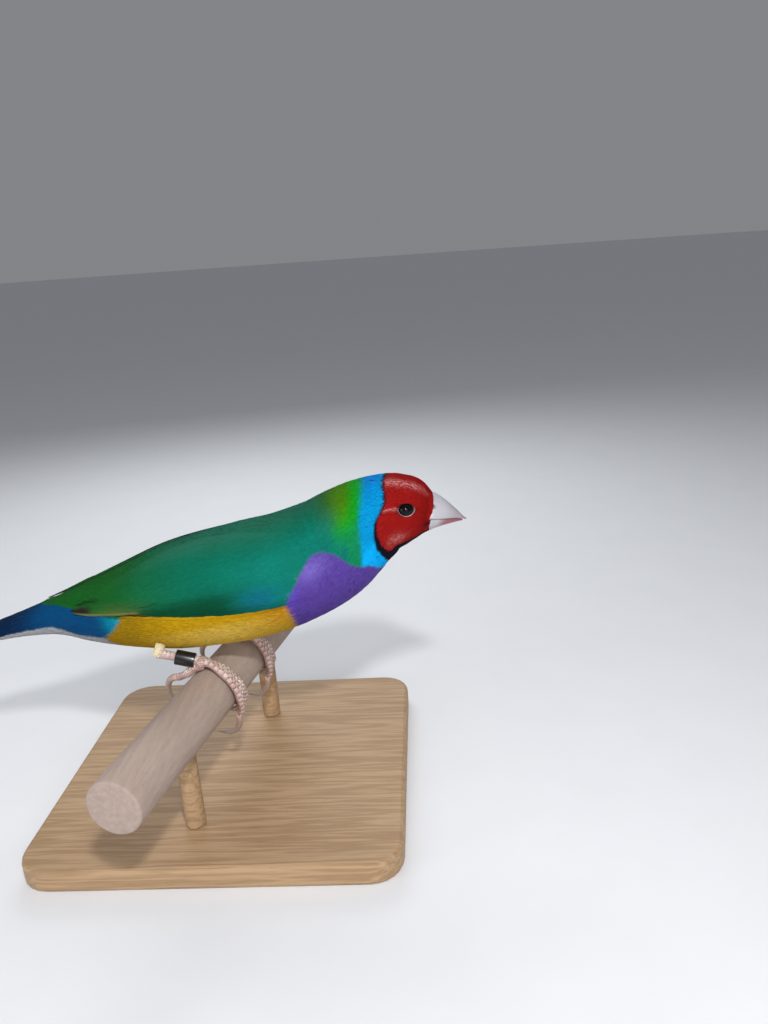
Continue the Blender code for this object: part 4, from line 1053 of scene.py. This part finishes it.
def wing_tint(tier, across, along, angle):
    """Colour of a wing feather: green by its place, with dark inner webs and paler fringes."""
    turn = np.degrees(np.abs(angle))
    colour = green(along, turn)
    shadow = blend(74, 88, turn) * blend(15.0, 3.0, along) * blend(-26.0, -12.0, along)
    colour = mix(colour, FOREST, 0.9 * shadow)
    colour = mix(colour, LAGOON, 0.9 * np.exp(-((along - 14.5) / 4.5) ** 2 - ((turn - 92) / 9.0) ** 2))
    brown = np.exp(-((along + 21.0) / 6.0) ** 2 - ((turn - 78) / 9.0) ** 2)
    colour = mix(colour, mix(OLIVE, BUFF, 0.5) * 0.62, 0.55 * brown)
    if tier == "coat":
        return colour
    edge = blend(0.72, 0.98, np.abs(across))
    colour = mix(colour, colour * 1.2 + 0.004, 0.25 * edge)
    colour = mix(colour, colour * 0.75, 0.3 * np.exp(-(across / 0.10) ** 2))
    if tier == "primary":
        colour = mix(colour, UMBER, 0.30 * blend(0.2, 0.8, across))
        dark_tip = blend(-28.5, -31.0, along) * blend(-0.9, -0.5, across) * blend(61, 67, turn)
        colour = mix(colour, UMBER * 0.8, np.maximum(dark_tip, 0.6 * blend(-38.0, -42.0, along)))
        colour = mix(colour, BUFF, 0.85 * blend(-0.50, -0.85, across) * blend(-4.0, -14.0, along))
    elif tier in ("secondary", "primary_covert"):
        colour = mix(colour, UMBER, 0.16 * blend(0.2, 0.9, across))
    return colour


def quill_piece(name, replaced, forms, tints, vanes):
    """One piece of large feathers, with their tints and vane map."""
    maps = {"Vane": np.concatenate(vanes)}
    piece(name, join(forms), QUILL, replaced, np.concatenate(tints), maps)


def make_wing(name, wing):
    """A wing's thin core and its tiers of feathers, each laid over the last, as one piece."""
    side = wing[0]
    along = 0.62 * np.linspace(0.0, 1.0, 30)[:, None] ** 1.2
    across = 0.5 + (np.linspace(0.02, 0.98, 25) - 0.5)[None, :] * np.minimum(1.0, 0.45 + 6.0 * along)
    along, across = np.broadcast_arrays(along, across)
    spot, angle = wing_place(wing, along, across)
    swell = np.sin(np.pi * np.clip(along / 0.62, 0.0, 1.0) ** 0.6) * (1 - (2 * across - 1) ** 4)
    depth = 0.95 * np.minimum(1.0, 0.75 + 2.0 * along) + 0.75 * swell
    depth = np.maximum(np.minimum(depth, wing_height(spot, angle) - 0.25), 0.2)
    core = plate(on_body(spot, angle, depth)[0], on_body(spot, angle, 0.1)[0])
    forms = [outward(core)]
    # The core takes its feathers' green, darkened as painted shade under them
    tints = [np.tile(wing_tint("core", across * 0, spot, angle).reshape(-1, 3) * 0.6, (2, 1))]
    vanes = [np.tile(np.stack([along, across * 0 + 0.5], axis=-1).reshape(-1, 2), (2, 1))]
    for tier, count, root, tip, width, lift, growth in FEATHERS:
        for number in range(count):
            share = number / (count - 1)
            jitter = (RANDOM.random(4) - 0.5) * np.array([0.012, 0.016, 0.10, 0.04])
            start = wing_place(wing, root[0] + jitter[0], root[1] + growth[0] * share)
            end = wing_place(
                wing, tip[0] + growth[1] * share + jitter[0], tip[1] + growth[2] * share + jitter[1])
            small = tier.endswith("covert") and tier != "primary_covert"
            form, places, vane = vane_form(
                (float(start[0]), float(start[1])), (float(end[0]), float(end[1])),
                (width + growth[3] * share) * (1 + jitter[2]), 1.0 if not small else lift - 0.75,
                lift + growth[4] * share + jitter[3], 0.10 * side,
                rows=12 if small else 22, sunk=True)
            colour = wing_tint(tier, vane[:, 1] * side, *places)
            forms.append(outward(form))
            tints.append(colour * (0.93 + 0.14 * RANDOM.random()))
            vanes.append(vane)
    quill_piece(name, (name,), forms, tints, vanes)


TAIL_TIPS = (-75.0, -69.5, -67.5, -66.0, -64.5, -63.0)
TAIL_WIDTHS = (2.8, 3.7, 3.7, 3.4, 3.0, 2.5)
TAIL_STEP = 0.33
# Rows of tail coverts: section of the roots and of the tips, and how many stand round the body
COVERT_ROWS = ((-48.5, -59.8, 15), (-42.0, -54.0, 17))


def make_tail():
    """Six pairs of straight tail feathers fanned from the coverts' end, the middle pair long and thin."""
    middle, forward, up, side, _, _, _ = section_frame(COVERTS_END - GAP)
    rows, columns = 26, 9
    share = np.linspace(0.0, 1.0, rows)
    across = np.linspace(-1.0, 1.0, columns)
    stack = TAIL_STEP * (len(TAIL_TIPS) - 1) / 2
    forms, tints, vanes = [], [], []
    for pair, (tip, width) in enumerate(zip(TAIL_TIPS, TAIL_WIDTHS)):
        length = (middle[0] - tip) / forward[0]
        if pair:
            shape = (0.7 + 0.3 * np.sin(np.minimum(share / 0.6, 1) * math.pi / 2))
            shape = shape * np.sqrt(1 - 0.97 * np.clip((share - 0.72) / 0.28, 0, 1) ** 2)
        else:
            shape = smooth_value((0.0, 0.3, 0.6, 0.82, 1.0), (0.7, 0.95, 0.5, 0.28, 0.12), share)
        for hand in (-1, 1):
            rise = stack - TAIL_STEP * (pair + 0.25 * hand)
            place = hand * (0.4 + 0.36 * pair + (0.4 + 0.21 * pair) * share)
            reach = place[:, None] + (width / 2 * shape)[:, None] * across
            back = -1.2 + (length + 1.2) * share
            arch = 0.07 * np.exp(-(across / 0.12) ** 2) - 0.10 * across ** 2
            centre = middle - forward * back[:, None, None] + side * reach[..., None]
            height = (rise + arch)[None, :, None] * up
            half = up * (0.11 * (1 - 0.7 * np.abs(across) ** 3))[None, :, None]
            form = plate(centre + height + half, centre + height - half)
            edge = blend(0.35, 0.95, across * hand)
            colour = mix(tone(24, 30, 40), NAVY, np.broadcast_to(edge * 0.8, (rows, columns)))
            colour = mix(colour, COBALT, np.broadcast_to(0.35 * edge * (1 - share[:, None]), (rows, columns)))
            grid = np.broadcast_to(share[:, None] * length / 20.0, (rows, columns))
            vane = np.stack([grid.ravel(), np.broadcast_to(across, (rows, columns)).ravel()], axis=-1)
            forms.append(outward(form))
            tints.append(np.tile(colour.reshape(-1, 3), (2, 1)) * (0.92 + 0.16 * RANDOM.random()))
            vanes.append(np.tile(vane, (2, 1)))
    quill_piece("tail_feathers", ("tail",), forms, tints, vanes)


def make_tail_coverts():
    """Long coverts above and below the tail's root, in two rows round the body's end."""
    forms, tints, vanes = [], [], []
    for row, (start, tip, count) in enumerate(COVERT_ROWS):
        for number in range(count):
            angle = (number + 0.5 * (row % 2)) / count * 2 * math.pi
            end = (tip - 0.8 * RANDOM.random(), angle)
            form, places, vane = vane_form(
                (start, angle), end, 3.4, -0.62, -0.20 + 0.1 * row, 0.04, rows=14, columns=7)
            forms.append(outward(form))
            edge = 1.0 + 0.25 * blend(0.6, 1.0, np.abs(vane[:, 1]))
            tints.append(markings(*places) * edge[:, None] * (0.92 + 0.16 * RANDOM.random()))
            vanes.append(vane)
    quill_piece("tail_covert_feathers", (), forms, tints, vanes)


BILL_LENGTH = 8.6
BILL_WIDTH = 8.8
BILL_HEIGHT = 9.4
GAPE_HEIGHT = -1.6
TIP_DROP = -0.9


def make_bill():
    """Two bill halves: arched sections from inside the face to the tip, whose crest falls in a bow.

    The upper half has a keel along its crest, a thin lip over the mouth and two sunken nostrils, painted dark
    as their shade.
    """
    middle, forward, up, side, _, _, _ = section_frame(FACE)
    share = np.linspace(-0.13, 1.0, 46)[:, None]
    inside = np.maximum(share, 0.0)
    sweep = np.linspace(0.0, math.pi, 49)[None, :]
    fall = inside ** 1.27
    width = BILL_WIDTH / 2 * (1 - fall) + 0.28 * inside
    edge = GAPE_HEIGHT + (TIP_DROP - GAPE_HEIGHT) * np.sin(inside * math.pi / 2) * 0.9 - 0.25 * inside ** 6
    for name, upper in (("bill_upper", True), ("bill_lower", False)):
        if upper:
            crest = np.maximum(BILL_HEIGHT / 2 * (1 - fall) + (TIP_DROP - 0.2) * fall, edge + 0.42)
            near = edge + 0.06
            reach = share * BILL_LENGTH + GAP
            half = width
        else:
            crest = -BILL_HEIGHT / 2 + (TIP_DROP + BILL_HEIGHT / 2 - 0.6) * inside ** 0.8
            crest = np.minimum(crest, edge - 0.42)
            near = edge - 0.06
            reach = share * BILL_LENGTH * 0.90 + GAP
            half = width * 0.92
        arch = np.sin(sweep) ** 0.9
        keel = (0.10 if upper else 0.06) * np.exp(-((sweep - math.pi / 2) / 0.16) ** 2) * (1 - inside) ** 0.5
        lip = 1.0 + 0.05 * np.exp(-(np.sin(sweep) / 0.16) ** 2) * (1 - inside)
        height = near + (crest - near) * arch + (keel if upper else -keel)
        across = np.cos(sweep) * half * lip
        spot = middle + forward * (reach + 0 * sweep)[..., None]
        spot = spot + up * height[..., None] + side * across[..., None]
        tint = mix(tone(172, 171, 178), tone(152, 143, 152), blend(0.2, 0.9, inside + 0 * sweep))
        if upper:
            rim = np.exp(-(np.sin(sweep) / 0.16) ** 2)
            pink = 0.55 * blend(0.80, 1.0, inside) + 0.25 * rim * blend(0.3, 0.7, inside)
        else:
            pink = 0.90 * blend(0.16, 0.52, inside + 0.10 * np.sin(sweep))
        tint = mix(tint, tone(140, 72, 82), np.broadcast_to(pink, tint.shape[:2]))
        if upper:
            for hand in (-1, 1):
                nostril = middle + forward * 0.55 + up * 1.6 + side * hand * 3.8
                away = np.linalg.norm((spot - nostril) * np.array([1.0, 1.0, 1.3]), axis=-1)
                pit = np.exp(-(away / 0.46) ** 2)
                spot = spot - side * hand * (0.35 * pit)[..., None]
                # Painted shade: each nostril's pit darkened
                tint = mix(tint, tone(40, 26, 34), pit ** 0.7)
        roof = spot[:, -1:] + (spot[:, :1] - spot[:, -1:]) * np.linspace(0.1, 0.9, 9)[None, :, None]
        inner_tint = np.broadcast_to(tone(60, 30, 36), roof.shape)
        rings = np.concatenate([spot, roof], axis=1)
        tints = np.concatenate([tint, inner_tint], axis=1)
        ends = np.stack([tints[0].mean(0), tints[-1].mean(0)])
        piece(name, loft(rings), HORN, (name,), np.concatenate([tints.reshape(-1, 3), ends]))


def make_eyes():
    """Each eye a ball a little flat along the head's height, in a ring of bare skin with fine beads."""
    for side, name in ((-1, "right"), (1, "left")):
        centre, look, height, ahead = eye_place(side)
        polar = np.linspace(0.02, math.pi - 0.02, 40)[:, None]
        turn = np.linspace(0.0, 2 * math.pi, 56, endpoint=False)[None, :]
        ball = (look * np.cos(polar)[..., None] + ahead * (np.sin(polar) * np.cos(turn))[..., None]
                + height * (np.sin(polar) * np.sin(turn) * EYE_SQUINT)[..., None])
        iris = np.exp(-((polar - 0.72) / 0.16) ** 2) + 0 * turn
        tint = mix(tone(4, 4, 8), tone(16, 11, 12), iris * 0.8)
        rows = tint.reshape(-1, 3)
        piece("eye_ball_" + name, loft(centre + ball * EYE_RADIUS), EYE, ("eye_" + name,),
              np.concatenate([rows, rows[:1], rows[-1:]]))
        out = np.linspace(0.0, 1.0, 12)[:, None]
        corner = 0.26 * np.abs(np.cos(turn)) ** 8
        long_way = 1.80 + (0.17 + corner) * out
        tall_way = 1.45 + 0.16 * out
        inner = 0.92 + 0.12 * np.sin(turn) ** 2
        bead = 0.05 * np.cos(turn * 24.0) * np.exp(-((out - 0.25) / 0.2) ** 2)
        rise = inner + 0.10 + 0.14 * np.sin(out * math.pi) + 0.12 * out + bead
        spots = centre + ahead * (long_way * np.cos(turn))[..., None]
        top = spots + height * (tall_way * np.sin(turn))[..., None]
        floor = top + look * (rise * 0 + inner - 0.65)[..., None]
        top = top + look * rise[..., None]
        rings = np.concatenate([top, floor[::-1]])
        faces = grid_faces(24, 56, wrap=True, close=True)
        bright = 0.50 + 0.50 * np.cos(turn + 1.35) * np.ones_like(out)
        colour = mix(tone(48, 14, 16), tone(190, 182, 186), bright ** 2.6)
        colour = mix(colour, tone(140, 108, 104), 0.6 * np.abs(np.cos(turn)) ** 14 * blend(0.3, 0.8, out))
        colour = mix(colour, tone(60, 44, 50), 0.7 * blend(0.22, 0.0, out + 0 * turn))
        both = np.concatenate([colour, colour[::-1] * 0.5]).reshape(-1, 3)
        piece("eye_ring_" + name, (rings.reshape(-1, 3), [faces]), LID, (), both)


PERCH_HEIGHT = 33.0
PERCH_RADIUS = 6.5
PERCH_ROUNDING = 0.6
PERCH_SPAN = (-56.0, 36.0)
PALM_TURN = -11.0
PALM_RADIUS = 1.2
PALM_LIFT = 0.9
SHANK_RADIUS = 1.1
TOE_RADIUS = 0.92
FOOT_TOP = PERCH_RADIUS + GAP + TOE_RADIUS + 0.1
FEET = {"right": -10.2, "left": 9.0}
HEELS = {"right": (-13.8, -10.0, 44.5), "left": (-9.6, 9.2, 44.2)}
TOES = {
    "near": (1.0, -2.4, 138.0, 1.5, 95.0),
    "middle": (1.9, -1.6, 126.0, 0.0, 70.0),
    "far": (3.1, -1.2, 112.0, 0.0, 70.0),
}
FREE_CLAW = 15.0
FREE_CLAW_RISE = 24.0
HUGGING_CLAW = 6.5
HIND_CLAW = 10.4
HIND_CLAW_SWEEP = 126.0
HIND_TOE_END = -64.0
RING_HALF_HEIGHT = 2.45
RING_BORE = 1.4
RING_OUTER = 1.9
RING_ROUNDING = 0.16
RING_SHARE = 0.30
PERCH_AXIS = np.array([math.sin(PERCH_TURN), math.cos(PERCH_TURN), 0.0])
PERCH_AHEAD = np.array([math.cos(PERCH_TURN), -math.sin(PERCH_TURN), 0.0])


def perch_place(turn, radius, along):
    """Points round the perch: an angle forward from its top, a distance from its axis, a place on it."""
    turn, radius, along = np.broadcast_arrays(np.radians(turn), radius, along)
    offset = PERCH_AHEAD * (radius * np.sin(turn))[..., None]
    offset = offset + np.array([0.0, 0.0, 1.0]) * (radius * np.cos(turn))[..., None]
    return np.array([0.0, 0.0, PERCH_HEIGHT]) + PERCH_AXIS * along[..., None] + offset


def tube_rings(path, radii, beside):
    """Rings square to a path, from their radii at each point and angle and a direction across them."""
    heading = np.gradient(path, axis=0)
    heading /= np.linalg.norm(heading, axis=-1, keepdims=True)
    across = beside - heading * np.sum(heading * beside, -1, keepdims=True)
    across /= np.linalg.norm(across, axis=-1, keepdims=True)
    upward = np.cross(heading, across)
    turn = np.linspace(0.0, 2 * math.pi, radii.shape[1], endpoint=False)
    spokes = across[:, None] * np.cos(turn)[:, None] + upward[:, None] * np.sin(turn)[:, None]
    return path[:, None] + spokes * radii[..., None]


def leg_tint(shade):
    """Flesh pink, from the painted shade of creases and sides to the painted highlights on the faces of the
    scales.
    """
    return mix(tone(160, 100, 90), tone(250, 230, 220), np.clip(shade, 0, 1))


def toe_form(path, base, tip, pads, upward=1):
    """A toe: two rows of rounded scutes step along its back, and soft pads swell under it; light and shade
    are painted on its scales.
    """
    share = np.linspace(0.0, 1.0, len(path))[:, None]
    turn = np.linspace(0.0, 2 * math.pi, 28, endpoint=False)[None, :]
    back = np.clip(np.sin(turn) * upward, 0.0, 1.0)
    under = np.clip(-np.sin(turn) * upward, 0.0, 1.0)
    scute = (share * 15.0 + 0.5 * (np.cos(turn) > 0)) % 1.0
    seam = np.exp(-(np.cos(turn) / 0.14) ** 2) * back
    joint = 0.5 + 0.5 * np.cos(share * 2 * math.pi * pads)
    radius = (base + (tip - base) * share) * (1.0 + back ** 0.5 * (0.15 - 0.26 * scute ** 2) - 0.07 * seam)
    radius = radius * (1.0 + (0.16 * back + 0.26 * under) * (joint - 0.5))
    end = np.sqrt(np.clip(1.0 - ((share - 0.93) / 0.075).clip(0.0, 0.98) ** 2, 0.02, 1.0))
    rings = tube_rings(path, radius * end, PERCH_AXIS)
    # Painted light: the back, the scutes' faces and the swollen joints paler as painted highlights; the
    # sides, the scutes' ends and the seam darker as painted shade
    shade = 0.30 + 0.66 * back ** 0.5 * (1 - 1.5 * scute ** 2) + 0.2 * (joint - 0.5) - 0.25 * seam
    return rings, leg_tint(shade)


def claw_form(path, thick):
    """A claw: rings along a curve that narrow to a point, deeper than wide, with a groove below."""
    share = np.linspace(0.0, 1.0, len(path))[:, None]
    turn = np.linspace(0.0, 2 * math.pi, 16, endpoint=False)[None, :]
    radius = (thick * (1 - share ** 2.5) ** 0.9 + 0.06) * (1.0 - 0.12 * np.cos(turn) ** 2)
    radius = radius * (1.0 - 0.10 * np.exp(-((turn - math.pi / 2) / 0.5) ** 2))
    rings = tube_rings(path, radius, PERCH_AXIS)
    tint = mix(tone(176, 150, 138), tone(128, 116, 108), share + 0 * turn)
    tint = mix(tint, tone(214, 176, 164), 0.7 * blend(0.16, 0.0, share + 0 * turn))
    return rings, tint


def claw_path(end, direction, bend, length, sweep, rise, steps=26):
    """A curve that goes on from the toe, lifts a little, then turns down by an even sweep."""
    share = np.linspace(0.0, 1.0, steps)
    turn = np.radians(np.where(share > 0, -rise + sweep * share ** 1.25, 0.0))
    direction = direction / np.linalg.norm(direction)
    square = np.cross(bend, direction)
    headings = direction * np.cos(turn)[:, None] + square * np.sin(turn)[:, None]
    steps_along = headings[:-1] * length / (steps - 1)
    return np.concatenate([[end], end + np.cumsum(steps_along, axis=0)])


def closed(rings, tint):
    """A loft with its tints, and one tint more for each of its two end points."""
    rows = tint.reshape(-1, 3)
    return outward(loft(rings)), np.concatenate([rows, tint[0].mean(0)[None], tint[-1].mean(0)[None]])


def make_claw(hand, name, path, bend, length, sweep, rise=0.0, thick=0.76):
    """One claw, which starts just inside its toe's end."""
    ahead = (path[-1] - path[-2]) / np.linalg.norm(path[-1] - path[-2])
    curve = claw_path(path[-1] - ahead * 0.5, ahead, bend, length, sweep, rise)
    form, tint = closed(*claw_form(curve, thick))
    piece("claw_horn_%s_%s" % (hand, name), form, CLAW, ("claw_%s_%s" % (hand, name),), tint)


def make_foot(hand):
    """Three toes over the front of the perch and one behind it, on a palm, and a claw on each."""
    forms, tints = [], []
    share = np.linspace(0.0, 1.0, 150)
    for name, (place, bulge, last, lift, sweep) in TOES.items():
        turn = PALM_TURN + share * (last - PALM_TURN)
        along = FEET[hand] + place * share + bulge * np.sin(share * math.pi)
        away = FOOT_TOP + 0.18 * np.sin(share * math.pi * 4) ** 2
        away = away + PALM_LIFT * (1 - share) ** 4 + lift * share ** 5
        path = perch_place(turn, away, along)
        form, tint = closed(*toe_form(path, TOE_RADIUS * 1.06, TOE_RADIUS * 0.86, 3.0))
        forms.append(form)
        tints.append(tint)
        if lift:
            make_claw(hand, name, path, PERCH_AXIS, FREE_CLAW, sweep, FREE_CLAW_RISE)
        else:
            make_claw(hand, name, path, PERCH_AXIS, HUGGING_CLAW, sweep)
    turn = PALM_TURN + share * (HIND_TOE_END - PALM_TURN)
    path = perch_place(turn, FOOT_TOP + 2.0 * share ** 5, FEET[hand] - 1.9 * np.sin(share * math.pi * 0.8))
    form, tint = closed(*toe_form(path, TOE_RADIUS * 1.22, TOE_RADIUS * 0.98, 2.0, -1))
    forms.append(form)
    tints.append(tint)
    make_claw(hand, "hind", path, -PERCH_AXIS, HIND_CLAW, HIND_CLAW_SWEEP, thick=0.90)
    palm = perch_place(PALM_TURN, FOOT_TOP + PALM_LIFT, FEET[hand])
    polar = np.linspace(0.05, math.pi - 0.05, 20)[:, None]
    around = np.linspace(0.0, 2 * math.pi, 28, endpoint=False)[None, :]
    level = np.cos(polar) + 0 * around
    ball = np.stack([np.sin(polar) * np.cos(around), np.sin(polar) * np.sin(around), level], axis=-1)
    form, tint = closed(palm + ball * PALM_RADIUS * (1.6, 1.6, 1.25), leg_tint(0.40 + 0 * polar * around))
    forms.append(form)
    tints.append(tint)
    piece("foot_skin_" + hand, join(forms), LEG, ("foot_" + hand,), np.concatenate(tints))
    return palm


def make_leg(hand, palm):
    """The shank: a slim tube that widens to both ends, with scutes stepping up its front."""
    heel = np.array(HEELS[hand])
    direction = (heel - palm) / np.linalg.norm(heel - palm)
    foot = palm + direction * (PALM_RADIUS - 0.5)
    share = np.linspace(0.0, 1.0, 90)
    path = foot + (heel + direction * 0.8 - foot) * share[:, None]
    turn = np.linspace(0.0, 2 * math.pi, 32, endpoint=False)[None, :]
    front = np.clip(0.3 - np.sin(turn) * (1 if hand == "right" else -1), 0.0, 1.0)
    scute = (share[:, None] * 10.0) % 1.0
    radius = SHANK_RADIUS * (1.0 + 0.15 * np.abs(2 * share[:, None] - 1) ** 3)
    radius = radius * (1.0 + front * (0.08 - 0.18 * scute ** 3))
    rings = tube_rings(path, radius, np.array([0.0, 1.0, 0.0]))
    # Painted light: the scutes' faces on the front paler as painted highlights and their ends darker as
    # painted shade, with a slow ripple of tone
    shade = 0.55 + 0.3 * front * (1 - scute ** 4) + 0.1 * np.sin(share[:, None] * 7.0)
    form, tint = closed(rings, leg_tint(shade))
    piece("shank_skin_" + hand, form, LEG, ("shank_" + hand,), tint)
    return palm + direction * (PALM_RADIUS + GAP), heel, direction


def make_ring(foot, heel, direction):
    """The leg ring: a rounded rectangle of wall carried once round the shank, bare of any marks."""
    half, bore, outer, round_off = RING_HALF_HEIGHT, RING_BORE, RING_OUTER, RING_ROUNDING
    corner = np.linspace(0.0, math.pi / 2, 6)
    corners = ((outer, half, 0.0), (bore, half, 90.0), (bore, -half, 180.0), (outer, -half, 270.0))
    profile = []
    for radius, place, start in corners:
        inner_radius = radius - round_off if radius == outer else radius + round_off
        inner_place = place - round_off * np.sign(place)
        turn = corner + math.radians(start)
        profile.append(np.stack(
            [inner_radius + round_off * np.cos(turn), inner_place + round_off * np.sin(turn)], -1))
    profile = np.concatenate(profile)
    middle = foot + (heel - foot) * RING_SHARE
    across = np.cross(direction, (0.0, 1.0, 0.0))
    across /= np.linalg.norm(across)
    beside = np.cross(direction, across)
    turn = np.linspace(0.0, 2 * math.pi, 72, endpoint=False)
    spokes = across * np.cos(turn)[:, None] + beside * np.sin(turn)[:, None]
    rings = middle + profile[:, None, :1] * spokes + profile[:, None, 1:] * direction
    faces = grid_faces(len(profile), 72, wrap=True, close=True)
    piece("leg_ring", (rings.reshape(-1, 3), [faces]), RING, ("leg_band",))


def make_perch():
    """The perch: a round rod with softly rounded ends, whose surface swells a little along the grain."""
    edge = np.linspace(0.0, math.pi / 2, 7)
    low, high = PERCH_SPAN
    drop = PERCH_ROUNDING * (1 - np.sin(edge))
    places = np.concatenate([
        low + PERCH_ROUNDING * (1 - np.cos(edge)), np.linspace(low + 2, high - 2, 90), high - drop])
    radii = np.concatenate([PERCH_RADIUS - drop, np.full(90, PERCH_RADIUS), PERCH_RADIUS - drop[::-1]])
    angle = np.linspace(0.0, 2 * math.pi, 96, endpoint=False)
    along = places[:, None] + 0 * angle
    wave = ripple(angle * 3.0 + places[:, None] * 0.05, angle * 7.0 - places[:, None] * 0.03 + 1.0)
    rings = perch_place(np.degrees(angle)[None, :], radii[:, None] - 0.025 + 0.025 * wave, along)
    piece("perch_rod", loft(rings), PERCH, ("perch",))


LIGHT_TARGET = (5.0, 0.0, 55.0)
WORLD_STRENGTH = 0.28
# Each light's place, width, power in watts and colour
LIGHTS = (
    ("key_light", (190.0, -420.0, 240.0), 240.0, 0.92, (1.0, 0.98, 0.95)),
    ("fill_light", (-320.0, -260.0, 160.0), 320.0, 0.6, (0.93, 0.96, 1.0)),
    ("rim_light", (-60.0, 300.0, 320.0), 260.0, 0.85, (0.96, 0.98, 1.0)),
    ("eye_light", (95.0, -235.0, 300.0), 26.0, 0.75, (1.0, 1.0, 1.0)),
)


def area_light(name, place, size, power, colour):
    """A square soft light in millimetres that faces the bird."""
    light = bpy.data.lights.new(name, "AREA")
    light.size = size * MM
    light.energy = power
    light.color = colour
    lamp = bpy.data.objects.new(name, light)
    lamp.location = Vector(place) * MM
    lamp.rotation_euler = (Vector(LIGHT_TARGET) - Vector(place)).to_track_quat("-Z", "Y").to_euler()
    bpy.context.scene.collection.objects.link(lamp)


def make_stage():
    """A wide pale floor, a pale world and soft studio lights."""
    turn = np.linspace(0.0, 2 * math.pi, 64, endpoint=False)
    reach = np.array([200.0, 800.0, 4000.0, 20000.0])[:, None]
    spot = np.stack([reach * np.cos(turn), reach * np.sin(turn), reach * 0 + 0 * turn], axis=-1)
    mesh = bpy.data.meshes.new("floor")
    points = np.concatenate([spot.reshape(-1, 3), [[0.0, 0.0, 0.0]]])
    fan = [(index, (index + 1) % 64, len(points) - 1) for index in range(64)]
    rows = grid_faces(4, 64, wrap=True)[:, ::-1].tolist()
    mesh.from_pydata((points * MM).tolist(), [], rows + fan)
    floor = bpy.data.objects.new("floor", mesh)
    bpy.context.scene.collection.objects.link(floor)
    paint = Paint("floor_paper", Roughness=0.85, Specular_IOR_Level=0.2)
    grain = paint.noise(paint.place(), 0.05, 3.0)
    paint.feed(Base_Color=paint.tinted(0.97 + grain * 0.05, rgb(tone(226, 227, 230))))
    mesh.materials.append(paint.material)
    world = bpy.data.worlds.new("studio")
    world.use_nodes = True
    world.node_tree.nodes["Background"].inputs["Color"].default_value = rgb(tone(232, 236, 242))
    world.node_tree.nodes["Background"].inputs["Strength"].default_value = WORLD_STRENGTH
    bpy.context.scene.world = world
    for light in LIGHTS:
        area_light(*light)


CAMERA_LENS = 28.09
CAMERA_PLACE = (56.41, -188.209, 137.630)
# The camera's heading, its lift from straight down and its roll, in degrees
CAMERA_TURN = (3.6056, 71.893, -4.0)


def make_camera():
    """The photograph's view: its place and turn come from the perch's edges and the bird's length."""
    lens = bpy.data.cameras.new("view_camera")
    lens.sensor_width = 36.0
    lens.lens = CAMERA_LENS
    lens.clip_start = 0.01
    camera = bpy.data.objects.new("view_camera", lens)
    heading, lift, roll = (math.radians(angle) for angle in CAMERA_TURN)
    turn = Matrix.Rotation(heading, 4, "Z") @ Matrix.Rotation(lift, 4, "X") @ Matrix.Rotation(roll, 4, "Z")
    camera.matrix_world = Matrix.Translation(Vector(CAMERA_PLACE) * MM) @ turn
    bpy.context.scene.collection.objects.link(camera)
    bpy.context.scene.camera = camera


make_coat()
for wing_name, wing_shape in WINGS.items():
    make_wing(wing_name, wing_shape)
make_tail_coverts()
make_tail()
make_bill()
make_eyes()
for leg in ("right", "left"):
    shank = make_leg(leg, make_foot(leg))
    if leg == "right":
        make_ring(*shank)
make_perch()
for stand_name in ("stand_base", "stand_rod_front", "stand_rod_back"):
    stand_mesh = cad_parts[stand_name].data
    stand_mesh.materials.clear()
    stand_mesh.materials.append(STAND.material)
make_stage()
make_camera()
bpy.context.scene.view_settings.view_transform = "Standard"
